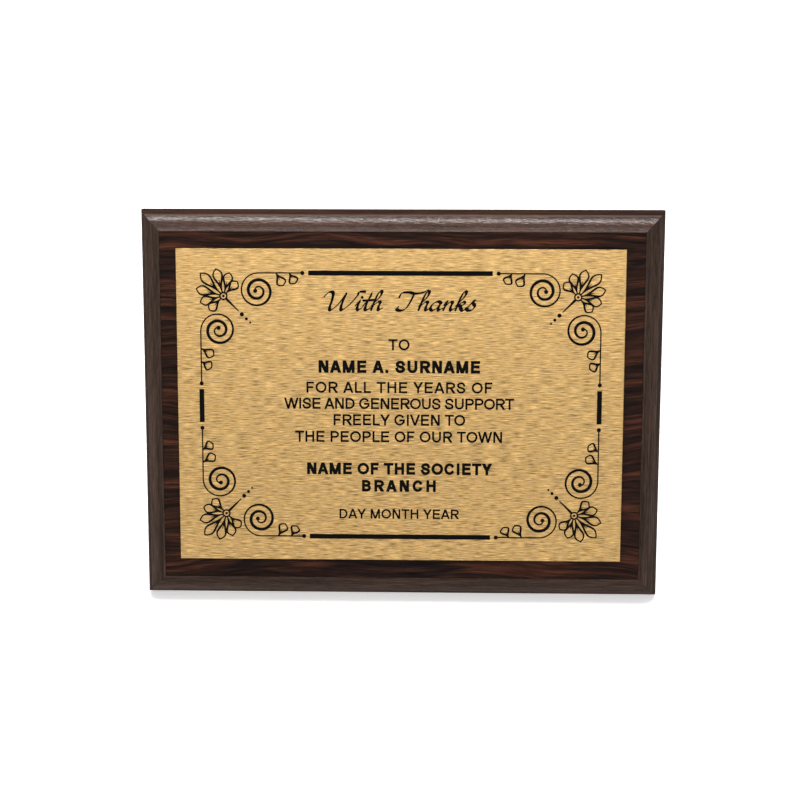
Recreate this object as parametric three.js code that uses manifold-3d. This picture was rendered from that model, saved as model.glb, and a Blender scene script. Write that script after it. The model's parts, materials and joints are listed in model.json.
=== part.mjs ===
// A wooden award plaque that stands on a table or hangs on a wall.
//
// Four mitred edge mouldings grip a core board that carries a wood veneer on its face. A brushed gold
// plate is taped to the veneer. The back is closed with a thin backing board that carries a folding
// easel strut, a ring hanger and four felt dots.
//
// Millimetres. +Z is up, +X runs to the right along the plaque and its face looks along -Y. Every piece
// is drawn in the board's own frame, which stands upright: x across, y from front to back with 0 at the
// rear of the mouldings, z up from the bottom edge. The board is then leaned back on its open strut, and
// the origin ends at the middle of the floor area that the whole object covers.

import * as THREE from 'three';
import { mergeVertices } from 'three/addons/utils/BufferGeometryUtils.js';
import Module from 'manifold-3d';

const wasm = await Module();
wasm.setup();

// ---- driving dimensions -----------------------------------------------------------------------------

const WIDTH = 200;                  // board, outside
const HEIGHT = 150;
const THICKNESS = 15;               // rear of the mouldings to the top of their fillet
const LEAN = THREE.MathUtils.degToRad(15);        // how far the standing board leans back
const STRUT_OPENING = THREE.MathUtils.degToRad(30);  // angle between the board and its open strut

const GLUE_LINE = 0.1;              // gap at every glued, taped or screwed face
const RUNNING_GAP = 0.1;            // radial play of a pin or ring in its knuckle
const HOLE_PLAY = 0.1;              // radial play of a screw, rivet or nail in its hole

const MOULDING_FACE = 8.2;          // width of a moulding seen from the front
const FILLET_WIDTH = 0.8;           // flat lip at the moulding's inner edge
const FILLET_ARRIS = 0.15;
const QUIRK = 0.7;                  // step from the fillet down to the curved slope
const SLOPE_DEPTH = 9.6;            // depth of the curved slope, front to back
const REAR_ARRIS = 0.5;             // small bevel round the rear edge
const GROOVE_DEPTH = 3;             // groove in the moulding that takes the core's tongue
const GROOVE_WIDTH = 4.5;
const GROOVE_FROM_REAR = 6;

const PANEL_DROP = 0.35;            // veneer face below the fillet
const VENEER = 0.5;
const BACKING = 3;                  // backing board
const BACKING_SET_IN = 0.2;         // backing board below the rear of the mouldings

const PLATE_MARGIN = 15;            // board edge to plate edge, all round
const PLATE_RIGHT = -0.5;           // the plate is laid by hand, a little off the middle
const PLATE_UP = 0.5;
const PLATE = 0.8;                  // plate thickness
const TAPE = 0.25;
const TAPE_WIDTH = 12;
const TAPE_MARGIN = 6;              // plate edge to tape
const TAPE_NAMES = ['tape_lower', 'tape_middle', 'tape_upper'];

const WEDGE_INSET = 3.5;            // corner wedge from the outer faces
const WEDGE_LEG = 6;
const WEDGE_SHEET = 0.5;
const WEDGE_HEIGHT = 5;
const WEDGE_SUNK = 0.2;

const NAIL_RADIUS = 0.6;            // backing nails
const NAIL_HEAD = 1.6;
const NAIL_LENGTH = 9;
const NAIL_INSET = 5;               // backing board edge to nail
const NAIL_SPREAD = 52;             // half distance between the nails of a long side

const SCREW_RADIUS = 1.2;
const SCREW_HEAD = 2.6;
const SCREW_HEAD_HEIGHT = 1.3;
const SCREW_LENGTH = 9;

const SHEET = 0.85;                 // sheet steel of the hinge leaves
const HINGE_FROM_TOP = 50;          // hinge axis below the board's top edge
const HINGE_PIN_RADIUS = 0.95;
const LEAF_WIDTH = 26;
const LEAF_HEIGHT = 18;             // fixed leaf above the axis
const LEAF_CORNER = 3;
const LEAF_SCREW_SPREAD = 7.5;      // half distance between the two screws
const LEAF_SCREW_HEIGHT = 11;       // above the axis
const MIDDLE_KNUCKLE = 9.6;         // the strut leaf's own knuckle
const KNUCKLE_SIDE_GAP = 0.2;

const STRUT_BOARD = 3;
const STRUT_TOP_WIDTH = 24;
const STRUT_FOOT_WIDTH = 46;
const STRUT_TOP_CORNER = 3;
const STRUT_ARCH_WIDTH = 18;        // shallow arch between the strut's two feet
const STRUT_ARCH_RISE = 5;
const STRUT_LEAF_WIDTH = 18;
const STRUT_LEAF_LENGTH = 22;
const RIVET_RADIUS = 1.1;
const RIVET_HEAD = 2.1;
const RIVET_HEAD_HEIGHT = 0.8;
const RIVET_TAIL_HEIGHT = 0.45;
const RIVET_PLACES = [8.5, 17];     // below the hinge axis

const STRAP_SHEET = 0.8;            // hanger strap
const STRAP_WIDTH = 8;
const STRAP_LENGTH = 13;
const STRAP_SCREW = 6.8;            // below the ring's axis
const HANGER_FROM_TOP = 14;         // ring axis below the board's top edge
const RING_WIRE = 0.9;
const RING_HALF_WIDTH = 8;          // to the middle of the wire
const RING_DROP = 12;
const RING_CORNER = 2.2;
const RING_BUTT = 0.3;              // the wire's two ends, inside the strap's loop

const FELT_RADIUS = 5;
const FELT = 1.8;
const FELT_INSET = 16;              // board edge to felt centre

// ---- levels that follow, all in the board's frame -----------------------------------------------------

const BACKING_REAR = -BACKING_SET_IN;
const BACKING_FRONT = BACKING_REAR - BACKING;
const CORE_REAR = BACKING_FRONT - GLUE_LINE;
const PANEL_FRONT = PANEL_DROP - THICKNESS;
const CORE_FRONT = PANEL_FRONT + VENEER + GLUE_LINE;
const TAPE_REAR = PANEL_FRONT - GLUE_LINE / 2;
const PLATE_REAR = TAPE_REAR - TAPE - GLUE_LINE / 2;
const PANEL_WIDTH = WIDTH - 2 * (MOULDING_FACE + GLUE_LINE);
const PANEL_HEIGHT = HEIGHT - 2 * (MOULDING_FACE + GLUE_LINE);
const PLATE_WIDTH = WIDTH - 2 * PLATE_MARGIN;
const PLATE_HEIGHT = HEIGHT - 2 * PLATE_MARGIN;
const MIDDLE = HEIGHT / 2;
const TANGENT_TRIM = 0.02;          // sheet kept this far inside the tube that it runs into

const LEAF_FRONT = BACKING_REAR + GLUE_LINE;
const LEAF_REAR = LEAF_FRONT + SHEET;
const KNUCKLE_BORE = HINGE_PIN_RADIUS + RUNNING_GAP;
const KNUCKLE_RADIUS = KNUCKLE_BORE + SHEET;
const HINGE_HEIGHT = HEIGHT - HINGE_FROM_TOP;                        // hinge axis, z
const HINGE_BACK = LEAF_REAR + KNUCKLE_SIDE_GAP + KNUCKLE_RADIUS;   // hinge axis, y

const STRAP_REAR = LEAF_FRONT + STRAP_SHEET;
const LOOP_BORE = RING_WIRE + RUNNING_GAP;
const LOOP_RADIUS = LOOP_BORE + STRAP_SHEET;
const RING_BACK = LEAF_FRONT + LOOP_RADIUS;                         // ring axis, y
const RING_HEIGHT = HEIGHT - HANGER_FROM_TOP;                       // ring axis, z

// The board stands on its rear bottom arris, so its corner hangs this little below the table.
const ARRIS_LIFT = REAR_ARRIS * Math.sin(LEAN);
const HINGE_ABOVE_TABLE = HINGE_HEIGHT * Math.cos(LEAN) - HINGE_BACK * Math.sin(LEAN) - ARRIS_LIFT;
const STRUT_TILT = STRUT_OPENING - LEAN;                            // open strut from the vertical

// ---- materials ----------------------------------------------------------------------------------------

const finishes = {
  edgeFoil: { color: 0x46342d, roughness: 0.42, metalness: 0 },
  roseVeneer: { color: 0x36201a, roughness: 0.4, metalness: 0 },
  fibreboard: { color: 0x9a7650, roughness: 0.9, metalness: 0 },
  goldPlate: { color: 0xc9a063, roughness: 0.35, metalness: 1 },
  tape: { color: 0xe8e6dc, roughness: 0.7, metalness: 0 },
  hardboard: { color: 0x1d1a18, roughness: 0.75, metalness: 0 },
  steel: { color: 0xb9babb, roughness: 0.35, metalness: 1 },
  brassPlated: { color: 0xc7a253, roughness: 0.3, metalness: 1 },
  felt: { color: 0x2c1d17, roughness: 1, metalness: 0 },
};

// ---- helpers ------------------------------------------------------------------------------------------

function piece(name, geometry, finish) {
  const mesh = new THREE.Mesh(geometry, new THREE.MeshStandardMaterial(finish));
  mesh.name = name;
  return mesh;
}

function toSolid(geometry) {
  const bare = geometry.clone();
  bare.deleteAttribute('normal');
  bare.deleteAttribute('uv');
  const merged = mergeVertices(bare, 1e-5);
  const vertProperties = new Float32Array(merged.attributes.position.array);
  const triVerts = new Uint32Array(merged.index.array);
  return new wasm.Manifold(new wasm.Mesh({ numProp: 3, vertProperties, triVerts }));
}

function toGeometry(solid) {
  const mesh = solid.getMesh();
  const geometry = new THREE.BufferGeometry();
  geometry.setAttribute('position', new THREE.BufferAttribute(new Float32Array(mesh.vertProperties), 3));
  geometry.setIndex(new THREE.BufferAttribute(new Uint32Array(mesh.triVerts), 1));
  geometry.computeVertexNormals();
  return geometry;
}

function join(first, ...others) {
  return toGeometry(others.reduce((whole, other) => whole.add(toSolid(other)), toSolid(first)));
}

function cut(first, ...tools) {
  return toGeometry(tools.reduce((rest, tool) => rest.subtract(toSolid(tool)), toSolid(first)));
}

function block(xFrom, xTo, yFrom, yTo, zFrom, zTo) {
  const geometry = new THREE.BoxGeometry(xTo - xFrom, yTo - yFrom, zTo - zFrom);
  return geometry.translate((xFrom + xTo) / 2, (yFrom + yTo) / 2, (zFrom + zTo) / 2);
}

// A block of the given width and height, centred on the board's face.
function centredBlock(width, height, yFrom, yTo) {
  return block(-width / 2, width / 2, yFrom, yTo, MIDDLE - height / 2, MIDDLE + height / 2);
}

// An outline in x and z, given thickness from yFrom to yTo.
function slab(outline, yFrom, yTo, curveSegments = 10) {
  const geometry = new THREE.ExtrudeGeometry(outline, { depth: yTo - yFrom, bevelEnabled: false, curveSegments });
  return geometry.rotateX(Math.PI / 2).translate(0, yTo, 0);
}

// An outline in y and z, drawn out along x.
function drawnOut(outline, xFrom, xTo, curveSegments = 10) {
  const geometry = new THREE.ExtrudeGeometry(outline, { depth: xTo - xFrom, bevelEnabled: false, curveSegments });
  const turn = new THREE.Matrix4().makeBasis(
    new THREE.Vector3(0, 1, 0), new THREE.Vector3(0, 0, 1), new THREE.Vector3(1, 0, 0));
  return geometry.applyMatrix4(turn).translate(xFrom, 0, 0);
}

// A round piece whose axis runs front to back. The profile is a list of [radius, y] from front to back.
function turned(profile, segments = 20) {
  return new THREE.LatheGeometry(profile.map(([radius, y]) => new THREE.Vector2(radius, y)), segments);
}

function hole(radius, x, z, yFrom, yTo) {
  return turned([[0, yFrom], [radius, yFrom], [radius, yTo], [0, yTo]], 16).translate(x, 0, z);
}

// The points of a low dome from its rim back to its top on the axis.
function domePoints(radius, height, yRim, steps = 4) {
  return Array.from({ length: steps + 1 }, (_, step) => {
    const angle = (step / steps) * (Math.PI / 2);
    return [step === steps ? 0 : radius * Math.cos(angle), yRim + height * Math.sin(angle)];
  });
}

// A round bar along x, which is also the tool that bores the rolled end of a hinge leaf or strap.
function bar(radius, xFrom, xTo, y = 0, z = 0) {
  const geometry = new THREE.CylinderGeometry(radius, radius, xTo - xFrom, 24);
  return geometry.rotateZ(Math.PI / 2).translate((xFrom + xTo) / 2, y, z);
}

function roundedRectangle(width, height, corner) {
  const outline = new THREE.Shape();
  const right = width / 2 - corner;
  outline.moveTo(-width / 2, 0);
  outline.lineTo(width / 2, 0);
  outline.lineTo(width / 2, height - corner);
  outline.absarc(right, height - corner, corner, 0, Math.PI / 2);
  outline.absarc(-right, height - corner, corner, Math.PI / 2, Math.PI);
  return outline;
}

// ---- edge mouldings -----------------------------------------------------------------------------------

// Section in y and in distance from the outer face: fillet, quirk, elliptical slope, flat side, rear.
function mouldingSection() {
  const lip = MOULDING_FACE - FILLET_WIDTH;
  const slopeEnd = -(THICKNESS - QUIRK - SLOPE_DEPTH);
  const grooveFront = -(GROOVE_FROM_REAR + GROOVE_WIDTH);
  const section = new THREE.Shape();
  section.moveTo(0, MOULDING_FACE);
  section.lineTo(0, REAR_ARRIS);
  section.lineTo(-REAR_ARRIS, 0);
  section.lineTo(slopeEnd, 0);
  section.absellipse(slopeEnd, lip, SLOPE_DEPTH, lip, -Math.PI / 2, -Math.PI, true);
  section.lineTo(FILLET_ARRIS - THICKNESS, lip);
  section.lineTo(-THICKNESS, lip + FILLET_ARRIS);
  section.lineTo(-THICKNESS, MOULDING_FACE - FILLET_ARRIS);
  section.lineTo(FILLET_ARRIS - THICKNESS, MOULDING_FACE);
  section.lineTo(grooveFront, MOULDING_FACE);
  section.lineTo(grooveFront, MOULDING_FACE - GROOVE_DEPTH);
  section.lineTo(-GROOVE_FROM_REAR, MOULDING_FACE - GROOVE_DEPTH);
  section.lineTo(-GROOVE_FROM_REAR, MOULDING_FACE);
  return section;
}

// A bottom moulding with both ends cut to 45 degrees: each end moves inwards by its distance from the
// outer face.
function mitredMoulding(length) {
  const geometry = drawnOut(mouldingSection(), -length / 2, length / 2, 12);
  const position = geometry.attributes.position;
  for (let index = 0; index < position.count; index += 1) {
    const x = position.getX(index);
    const inwards = position.getZ(index) + GLUE_LINE / 2;
    position.setX(index, x - Math.sign(x) * inwards);
  }
  return geometry;
}

// The L-shaped steel wedge driven across a mitre from behind, or with some play the slot for it.
function cornerWedge(cornerX, cornerZ, play = 0) {
  const toCentreX = -Math.sign(cornerX);
  const toCentreZ = cornerZ === 0 ? 1 : -1;
  const inner = WEDGE_INSET - WEDGE_SHEET / 2 - play;
  const outer = WEDGE_INSET + WEDGE_SHEET / 2 + play;
  const tip = WEDGE_INSET + WEDGE_LEG + play;
  const front = -(WEDGE_SUNK + WEDGE_HEIGHT) - play;
  const back = play > 0 ? 1 : -WEDGE_SUNK;
  const acrossX = (to) => [cornerX + toCentreX * inner, cornerX + toCentreX * to].sort((a, b) => a - b);
  const acrossZ = (to) => [cornerZ + toCentreZ * inner, cornerZ + toCentreZ * to].sort((a, b) => a - b);
  const alongX = block(...acrossX(tip), front, back, ...acrossZ(outer));
  const alongZ = block(...acrossX(outer), front, back, ...acrossZ(tip));
  return join(alongX, alongZ);
}

const CORNERS = [
  ['bottom_left', -WIDTH / 2, 0],
  ['bottom_right', WIDTH / 2, 0],
  ['top_right', WIDTH / 2, HEIGHT],
  ['top_left', -WIDTH / 2, HEIGHT],
];

function mouldings() {
  const sides = [
    ['moulding_bottom', WIDTH, 0, 0, 0],
    ['moulding_right', HEIGHT, -Math.PI / 2, WIDTH / 2, MIDDLE],
    ['moulding_top', WIDTH, Math.PI, 0, HEIGHT],
    ['moulding_left', HEIGHT, Math.PI / 2, -WIDTH / 2, MIDDLE],
  ];
  const slots = CORNERS.map(([, x, z]) => cornerWedge(x, z, HOLE_PLAY));
  return sides.map(([name, length, turn, x, z]) => {
    const blank = mitredMoulding(length).rotateY(turn).translate(x, 0, z);
    return piece(name, cut(blank, ...slots), finishes.edgeFoil);
  });
}

function cornerWedges() {
  return CORNERS.map(([name, x, z]) => piece(`corner_wedge_${name}`, cornerWedge(x, z), finishes.steel));
}

// ---- panel, plate and backing -------------------------------------------------------------------------

const NAIL_PLACES = [
  [-NAIL_SPREAD, MIDDLE - PANEL_HEIGHT / 2 + NAIL_INSET],
  [NAIL_SPREAD, MIDDLE - PANEL_HEIGHT / 2 + NAIL_INSET],
  [PANEL_WIDTH / 2 - NAIL_INSET, MIDDLE],
  [NAIL_SPREAD, MIDDLE + PANEL_HEIGHT / 2 - NAIL_INSET],
  [-NAIL_SPREAD, MIDDLE + PANEL_HEIGHT / 2 - NAIL_INSET],
  [NAIL_INSET - PANEL_WIDTH / 2, MIDDLE],
];

// Screw places with the level that each head bears on.
const SCREW_PLACES = [
  ['hinge_screw_left', -LEAF_SCREW_SPREAD, HINGE_HEIGHT + LEAF_SCREW_HEIGHT, LEAF_REAR + GLUE_LINE],
  ['hinge_screw_right', LEAF_SCREW_SPREAD, HINGE_HEIGHT + LEAF_SCREW_HEIGHT, LEAF_REAR + GLUE_LINE],
  ['hanger_screw', 0, RING_HEIGHT - STRAP_SCREW, STRAP_REAR + GLUE_LINE],
];

function fastenerHoles(yTo) {
  const nails = NAIL_PLACES.map(([x, z]) =>
    hole(NAIL_RADIUS + HOLE_PLAY, x, z, BACKING_REAR - NAIL_LENGTH - HOLE_PLAY, yTo));
  const screws = SCREW_PLACES.map(([, x, z, bearing]) =>
    hole(SCREW_RADIUS + HOLE_PLAY, x, z, bearing - SCREW_LENGTH - HOLE_PLAY, yTo));
  return [...nails, ...screws];
}

function coreBoard() {
  const reach = 2 * GROOVE_DEPTH;
  const body = centredBlock(PANEL_WIDTH, PANEL_HEIGHT, CORE_FRONT, CORE_REAR);
  const tongueFront = -(GROOVE_FROM_REAR + GROOVE_WIDTH) + GLUE_LINE;
  const tongueRear = -GROOVE_FROM_REAR - GLUE_LINE;
  const tongue = centredBlock(PANEL_WIDTH + reach, PANEL_HEIGHT + reach, tongueFront, tongueRear);
  return piece('core_board', cut(join(body, tongue), ...fastenerHoles(1)), finishes.fibreboard);
}

function faceVeneer() {
  const sheet = centredBlock(PANEL_WIDTH, PANEL_HEIGHT, PANEL_FRONT, PANEL_FRONT + VENEER);
  return piece('face_veneer', sheet, finishes.roseVeneer);
}

function plate() {
  const sheet = centredBlock(PLATE_WIDTH, PLATE_HEIGHT, PLATE_REAR - PLATE, PLATE_REAR);
  return piece('award_plate', sheet.translate(PLATE_RIGHT, 0, PLATE_UP), finishes.goldPlate);
}

function tapes() {
  const length = PLATE_WIDTH - 2 * TAPE_MARGIN;
  const travel = PLATE_HEIGHT / 2 - TAPE_MARGIN - TAPE_WIDTH / 2;
  return TAPE_NAMES.map((name, index) => {
    const middle = MIDDLE + (index - 1) * travel;
    const strip = block(-length / 2, length / 2, TAPE_REAR - TAPE, TAPE_REAR,
      middle - TAPE_WIDTH / 2, middle + TAPE_WIDTH / 2);
    return piece(name, strip.translate(PLATE_RIGHT, 0, PLATE_UP), finishes.tape);
  });
}

function backingBoard() {
  const sheet = centredBlock(PANEL_WIDTH, PANEL_HEIGHT, BACKING_FRONT, BACKING_REAR);
  return piece('backing_board', cut(sheet, ...fastenerHoles(1)), finishes.hardboard);
}

function backingNails() {
  const rim = BACKING_REAR + GLUE_LINE;
  const point = BACKING_REAR - NAIL_LENGTH;
  const profile = [
    [0, point],
    [NAIL_RADIUS, point + 2 * NAIL_RADIUS],
    [NAIL_RADIUS, rim],
    ...domePoints(NAIL_HEAD, 0.8, rim),
  ];
  return NAIL_PLACES.map(([x, z], index) =>
    piece(`backing_nail_${index + 1}`, turned(profile, 16).translate(x, 0, z), finishes.brassPlated));
}

// A pan head screw with a cross recess, its head bearing at the given level.
function screw(name, x, z, bearing) {
  const profile = [
    [0, bearing - SCREW_LENGTH],
    [SCREW_RADIUS, bearing - SCREW_LENGTH + 2 * SCREW_RADIUS],
    [SCREW_RADIUS, bearing],
    [SCREW_HEAD, bearing],
    ...domePoints(SCREW_HEAD, 0.8, bearing + SCREW_HEAD_HEIGHT - 0.8),
  ];
  const recessFrom = bearing + SCREW_HEAD_HEIGHT - 0.9;
  const top = bearing + SCREW_HEAD_HEIGHT + 1;
  const barOne = block(-1.3, 1.3, recessFrom, top, -0.3, 0.3);
  const barTwo = block(-0.3, 0.3, recessFrom, top, -1.3, 1.3);
  return piece(name, cut(turned(profile), barOne, barTwo).translate(x, 0, z), finishes.steel);
}

function feltDots() {
  return CORNERS.map(([name, x, z]) => {
    const rim = BACKING_REAR + GLUE_LINE;
    const centreX = x - Math.sign(x) * FELT_INSET;
    const centreZ = z === 0 ? FELT_INSET : HEIGHT - FELT_INSET;
    const profile = [[0, rim], [FELT_RADIUS, rim], [FELT_RADIUS, rim + FELT - 0.4], [FELT_RADIUS - 0.4, rim + FELT], [0, rim + FELT]];
    return piece(`felt_dot_${name}`, turned(profile, 32).translate(centreX, 0, centreZ), finishes.felt);
  });
}

// ---- easel hinge --------------------------------------------------------------------------------------

// The fixed leaf is screwed to the backing board above the axis. Its two knuckles are rolled from
// tongues of the same sheet.
function fixedLeaf() {
  const plateOutline = roundedRectangle(LEAF_WIDTH, LEAF_HEIGHT + KNUCKLE_RADIUS, LEAF_CORNER);
  const leafPlate = slab(plateOutline, LEAF_FRONT, LEAF_REAR).translate(0, 0, HINGE_HEIGHT - KNUCKLE_RADIUS);
  const inner = MIDDLE_KNUCKLE / 2 + KNUCKLE_SIDE_GAP;
  const knuckles = [[-LEAF_WIDTH / 2, -inner], [inner, LEAF_WIDTH / 2]].flatMap(([from, to]) => {
    const tube = bar(KNUCKLE_RADIUS, from, to, HINGE_BACK, HINGE_HEIGHT);
    const arm = block(from, to, LEAF_FRONT, HINGE_BACK,
      HINGE_HEIGHT + KNUCKLE_BORE, HINGE_HEIGHT + KNUCKLE_RADIUS - TANGENT_TRIM);
    return [tube, arm];
  });
  const bore = bar(KNUCKLE_BORE, -LEAF_WIDTH, LEAF_WIDTH, HINGE_BACK, HINGE_HEIGHT);
  const screwHoles = SCREW_PLACES.slice(0, 2).map(([, x, z]) =>
    hole(SCREW_RADIUS + HOLE_PLAY, x, z, LEAF_FRONT - 1, LEAF_REAR + 1));
  return piece('hinge_leaf_fixed', cut(join(leafPlate, ...knuckles), bore, ...screwHoles), finishes.steel);
}

function hingePin() {
  const half = LEAF_WIDTH / 2;
  const head = 0.8;
  const profile = [
    [0, -half - head],
    [KNUCKLE_BORE + 0.3, -half - head],
    [KNUCKLE_BORE + 0.3, -half - RUNNING_GAP],
    [HINGE_PIN_RADIUS, -half - RUNNING_GAP],
    [HINGE_PIN_RADIUS, half + RUNNING_GAP],
    [KNUCKLE_BORE + 0.3, half + RUNNING_GAP],
    [KNUCKLE_BORE + 0.3, half + head],
    [0, half + head],
  ];
  const geometry = turned(profile).rotateZ(-Math.PI / 2).translate(0, HINGE_BACK, HINGE_HEIGHT);
  return piece('hinge_pin', geometry, finishes.steel);
}

// ---- strut, drawn folded flat against the board with the hinge axis as its origin -----------------------

const STRUT_LEAF_REAR = KNUCKLE_RADIUS;
const STRUT_LEAF_FRONT = STRUT_LEAF_REAR - SHEET;
const STRUT_REAR = STRUT_LEAF_FRONT - GLUE_LINE;
const STRUT_FRONT = STRUT_REAR - STRUT_BOARD;
const STRUT_TOP = KNUCKLE_RADIUS + 0.6;           // below the axis, clear of the knuckles

// The heel of the strut leaf stands above the axis and meets the fixed leaf when the strut is open.
const HEEL = (HINGE_BACK + STRUT_LEAF_FRONT * Math.cos(STRUT_OPENING) - LEAF_REAR - GLUE_LINE)
  / Math.sin(STRUT_OPENING);

function strutLeaf() {
  const half = MIDDLE_KNUCKLE / 2;
  const rear = STRUT_LEAF_REAR - TANGENT_TRIM;
  const tube = bar(KNUCKLE_RADIUS, -half, half);
  const tongue = block(-half, half, STRUT_LEAF_FRONT, rear, -STRUT_TOP - LEAF_CORNER, HEEL);
  const shape = roundedRectangle(STRUT_LEAF_WIDTH, STRUT_LEAF_LENGTH - STRUT_TOP, LEAF_CORNER);
  const leafPlate = slab(shape, STRUT_LEAF_FRONT, rear).rotateX(Math.PI)
    .translate(0, STRUT_LEAF_FRONT + rear, -STRUT_TOP);
  const bore = bar(KNUCKLE_BORE, -STRUT_LEAF_WIDTH, STRUT_LEAF_WIDTH);
  const rivetHoles = RIVET_PLACES.map((down) =>
    hole(RIVET_RADIUS + HOLE_PLAY, 0, -down, STRUT_LEAF_FRONT - 1, STRUT_LEAF_REAR + 1));
  return piece('hinge_leaf_strut', cut(join(tube, tongue, leafPlate), bore, ...rivetHoles), finishes.steel);
}

function strutBoard() {
  const beyond = 6;
  const foot = -HINGE_ABOVE_TABLE / Math.cos(STRUT_TILT) - beyond;
  const topHalf = STRUT_TOP_WIDTH / 2;
  const footHalf = STRUT_FOOT_WIDTH / 2;
  const outline = new THREE.Shape();
  outline.moveTo(-topHalf + STRUT_TOP_CORNER, -STRUT_TOP);
  outline.quadraticCurveTo(-topHalf, -STRUT_TOP, -topHalf, -STRUT_TOP - STRUT_TOP_CORNER);
  outline.lineTo(-footHalf, foot);
  outline.lineTo(-STRUT_ARCH_WIDTH / 2, foot);
  outline.lineTo(-STRUT_ARCH_WIDTH / 2, foot + beyond);
  outline.absellipse(0, foot + beyond, STRUT_ARCH_WIDTH / 2, STRUT_ARCH_RISE, Math.PI, 0, true);
  outline.lineTo(STRUT_ARCH_WIDTH / 2, foot);
  outline.lineTo(footHalf, foot);
  outline.lineTo(topHalf, -STRUT_TOP - STRUT_TOP_CORNER);
  outline.quadraticCurveTo(topHalf, -STRUT_TOP, topHalf - STRUT_TOP_CORNER, -STRUT_TOP);
  const blank = slab(outline, STRUT_FRONT, STRUT_REAR, 12);
  const reach = HINGE_ABOVE_TABLE;
  const table = block(-STRUT_FOOT_WIDTH, STRUT_FOOT_WIDTH, -reach, reach, -HINGE_ABOVE_TABLE - reach, -HINGE_ABOVE_TABLE)
    .rotateX(-STRUT_TILT);
  const rivetHoles = RIVET_PLACES.map((down) =>
    hole(RIVET_RADIUS + HOLE_PLAY, 0, -down, STRUT_FRONT - 1, STRUT_REAR + 1));
  return piece('strut_board', cut(blank, table, ...rivetHoles), finishes.hardboard);
}

function strutRivets() {
  const tailRim = STRUT_FRONT - GLUE_LINE / 2;
  const headRim = STRUT_LEAF_REAR + GLUE_LINE / 2;
  const profile = [
    [0, tailRim - RIVET_TAIL_HEIGHT],
    [RIVET_HEAD - 0.2, tailRim - RIVET_TAIL_HEIGHT],
    [RIVET_HEAD, tailRim - RIVET_TAIL_HEIGHT + 0.2],
    [RIVET_HEAD, tailRim],
    [RIVET_RADIUS, tailRim],
    [RIVET_RADIUS, headRim],
    ...domePoints(RIVET_HEAD, RIVET_HEAD_HEIGHT, headRim),
  ];
  return RIVET_PLACES.map((down, index) =>
    piece(`strut_rivet_${index + 1}`, turned(profile).translate(0, 0, -down), finishes.steel));
}

// ---- ring hanger --------------------------------------------------------------------------------------

function hangerStrap() {
  const half = STRAP_WIDTH / 2;
  const front = LEAF_FRONT + TANGENT_TRIM;
  const loop = bar(LOOP_RADIUS, -half, half, RING_BACK, RING_HEIGHT);
  const shape = roundedRectangle(STRAP_WIDTH, STRAP_LENGTH, half - 0.5);
  const strap = slab(shape, front, STRAP_REAR).rotateX(Math.PI).translate(0, front + STRAP_REAR, RING_HEIGHT);
  const bore = bar(LOOP_BORE, -STRAP_WIDTH, STRAP_WIDTH, RING_BACK, RING_HEIGHT);
  const screwHole = hole(SCREW_RADIUS + HOLE_PLAY, 0, RING_HEIGHT - STRAP_SCREW, LEAF_FRONT - 1, STRAP_REAR + 1);
  return piece('hanger_strap', cut(join(loop, strap), bore, screwHole), finishes.brassPlated);
}

// A D of round wire whose straight side turns in the strap's loop. Its origin is that side's middle and
// the D hangs down -Z. The wire's ends butt inside the loop.
function hangerRing() {
  const path = new THREE.CurvePath();
  const side = RING_HALF_WIDTH;
  const shoulder = RING_DROP - side;
  const at = (x, z) => new THREE.Vector3(x, 0, z);
  path.add(new THREE.LineCurve3(at(RING_BUTT / 2, 0), at(side - RING_CORNER, 0)));
  path.add(new THREE.QuadraticBezierCurve3(at(side - RING_CORNER, 0), at(side, 0), at(side, -RING_CORNER)));
  path.add(new THREE.LineCurve3(at(side, -RING_CORNER), at(side, -shoulder)));
  const kappa = 0.5523;                  // handle length of a quarter circle drawn as a cubic curve
  const bow = side * kappa;
  path.add(new THREE.CubicBezierCurve3(at(side, -shoulder), at(side, -shoulder - bow), at(bow, -RING_DROP), at(0, -RING_DROP)));
  path.add(new THREE.CubicBezierCurve3(at(0, -RING_DROP), at(-bow, -RING_DROP), at(-side, -shoulder - bow), at(-side, -shoulder)));
  path.add(new THREE.LineCurve3(at(-side, -shoulder), at(-side, -RING_CORNER)));
  path.add(new THREE.QuadraticBezierCurve3(at(-side, -RING_CORNER), at(-side, 0), at(RING_CORNER - side, 0)));
  path.add(new THREE.LineCurve3(at(RING_CORNER - side, 0), at(-RING_BUTT / 2, 0)));
  const wire = new THREE.Shape().absarc(0, 0, RING_WIRE, 0, 2 * Math.PI);
  const geometry = new THREE.ExtrudeGeometry(wire, { steps: 80, extrudePath: path, curveSegments: 6 });
  return piece('hanger_ring', geometry, finishes.brassPlated);
}

// ---- the whole plaque ---------------------------------------------------------------------------------

const strut = new THREE.Group();
strut.position.set(0, HINGE_BACK, HINGE_HEIGHT);
strut.rotation.x = STRUT_OPENING;
strut.add(strutBoard(), strutLeaf(), ...strutRivets());

const ring = new THREE.Group();
ring.position.set(0, RING_BACK, RING_HEIGHT);
ring.rotation.x = LEAN;                 // the ring hangs straight down
ring.add(hangerRing());

const board = new THREE.Group();
board.rotation.x = -LEAN;
board.position.z = -ARRIS_LIFT;
board.add(
  ...mouldings(),
  ...cornerWedges(),
  coreBoard(),
  faceVeneer(),
  plate(),
  ...tapes(),
  backingBoard(),
  ...backingNails(),
  ...SCREW_PLACES.map((place) => screw(...place)),
  ...feltDots(),
  fixedLeaf(),
  hingePin(),
  hangerStrap(),
  strut,
  ring,
);

const plaque = new THREE.Group();
plaque.add(board);
plaque.updateMatrixWorld(true);
const covered = new THREE.Box3().setFromObject(plaque, true).getCenter(new THREE.Vector3());
board.position.y = -covered.y;

export default plaque;
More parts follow.
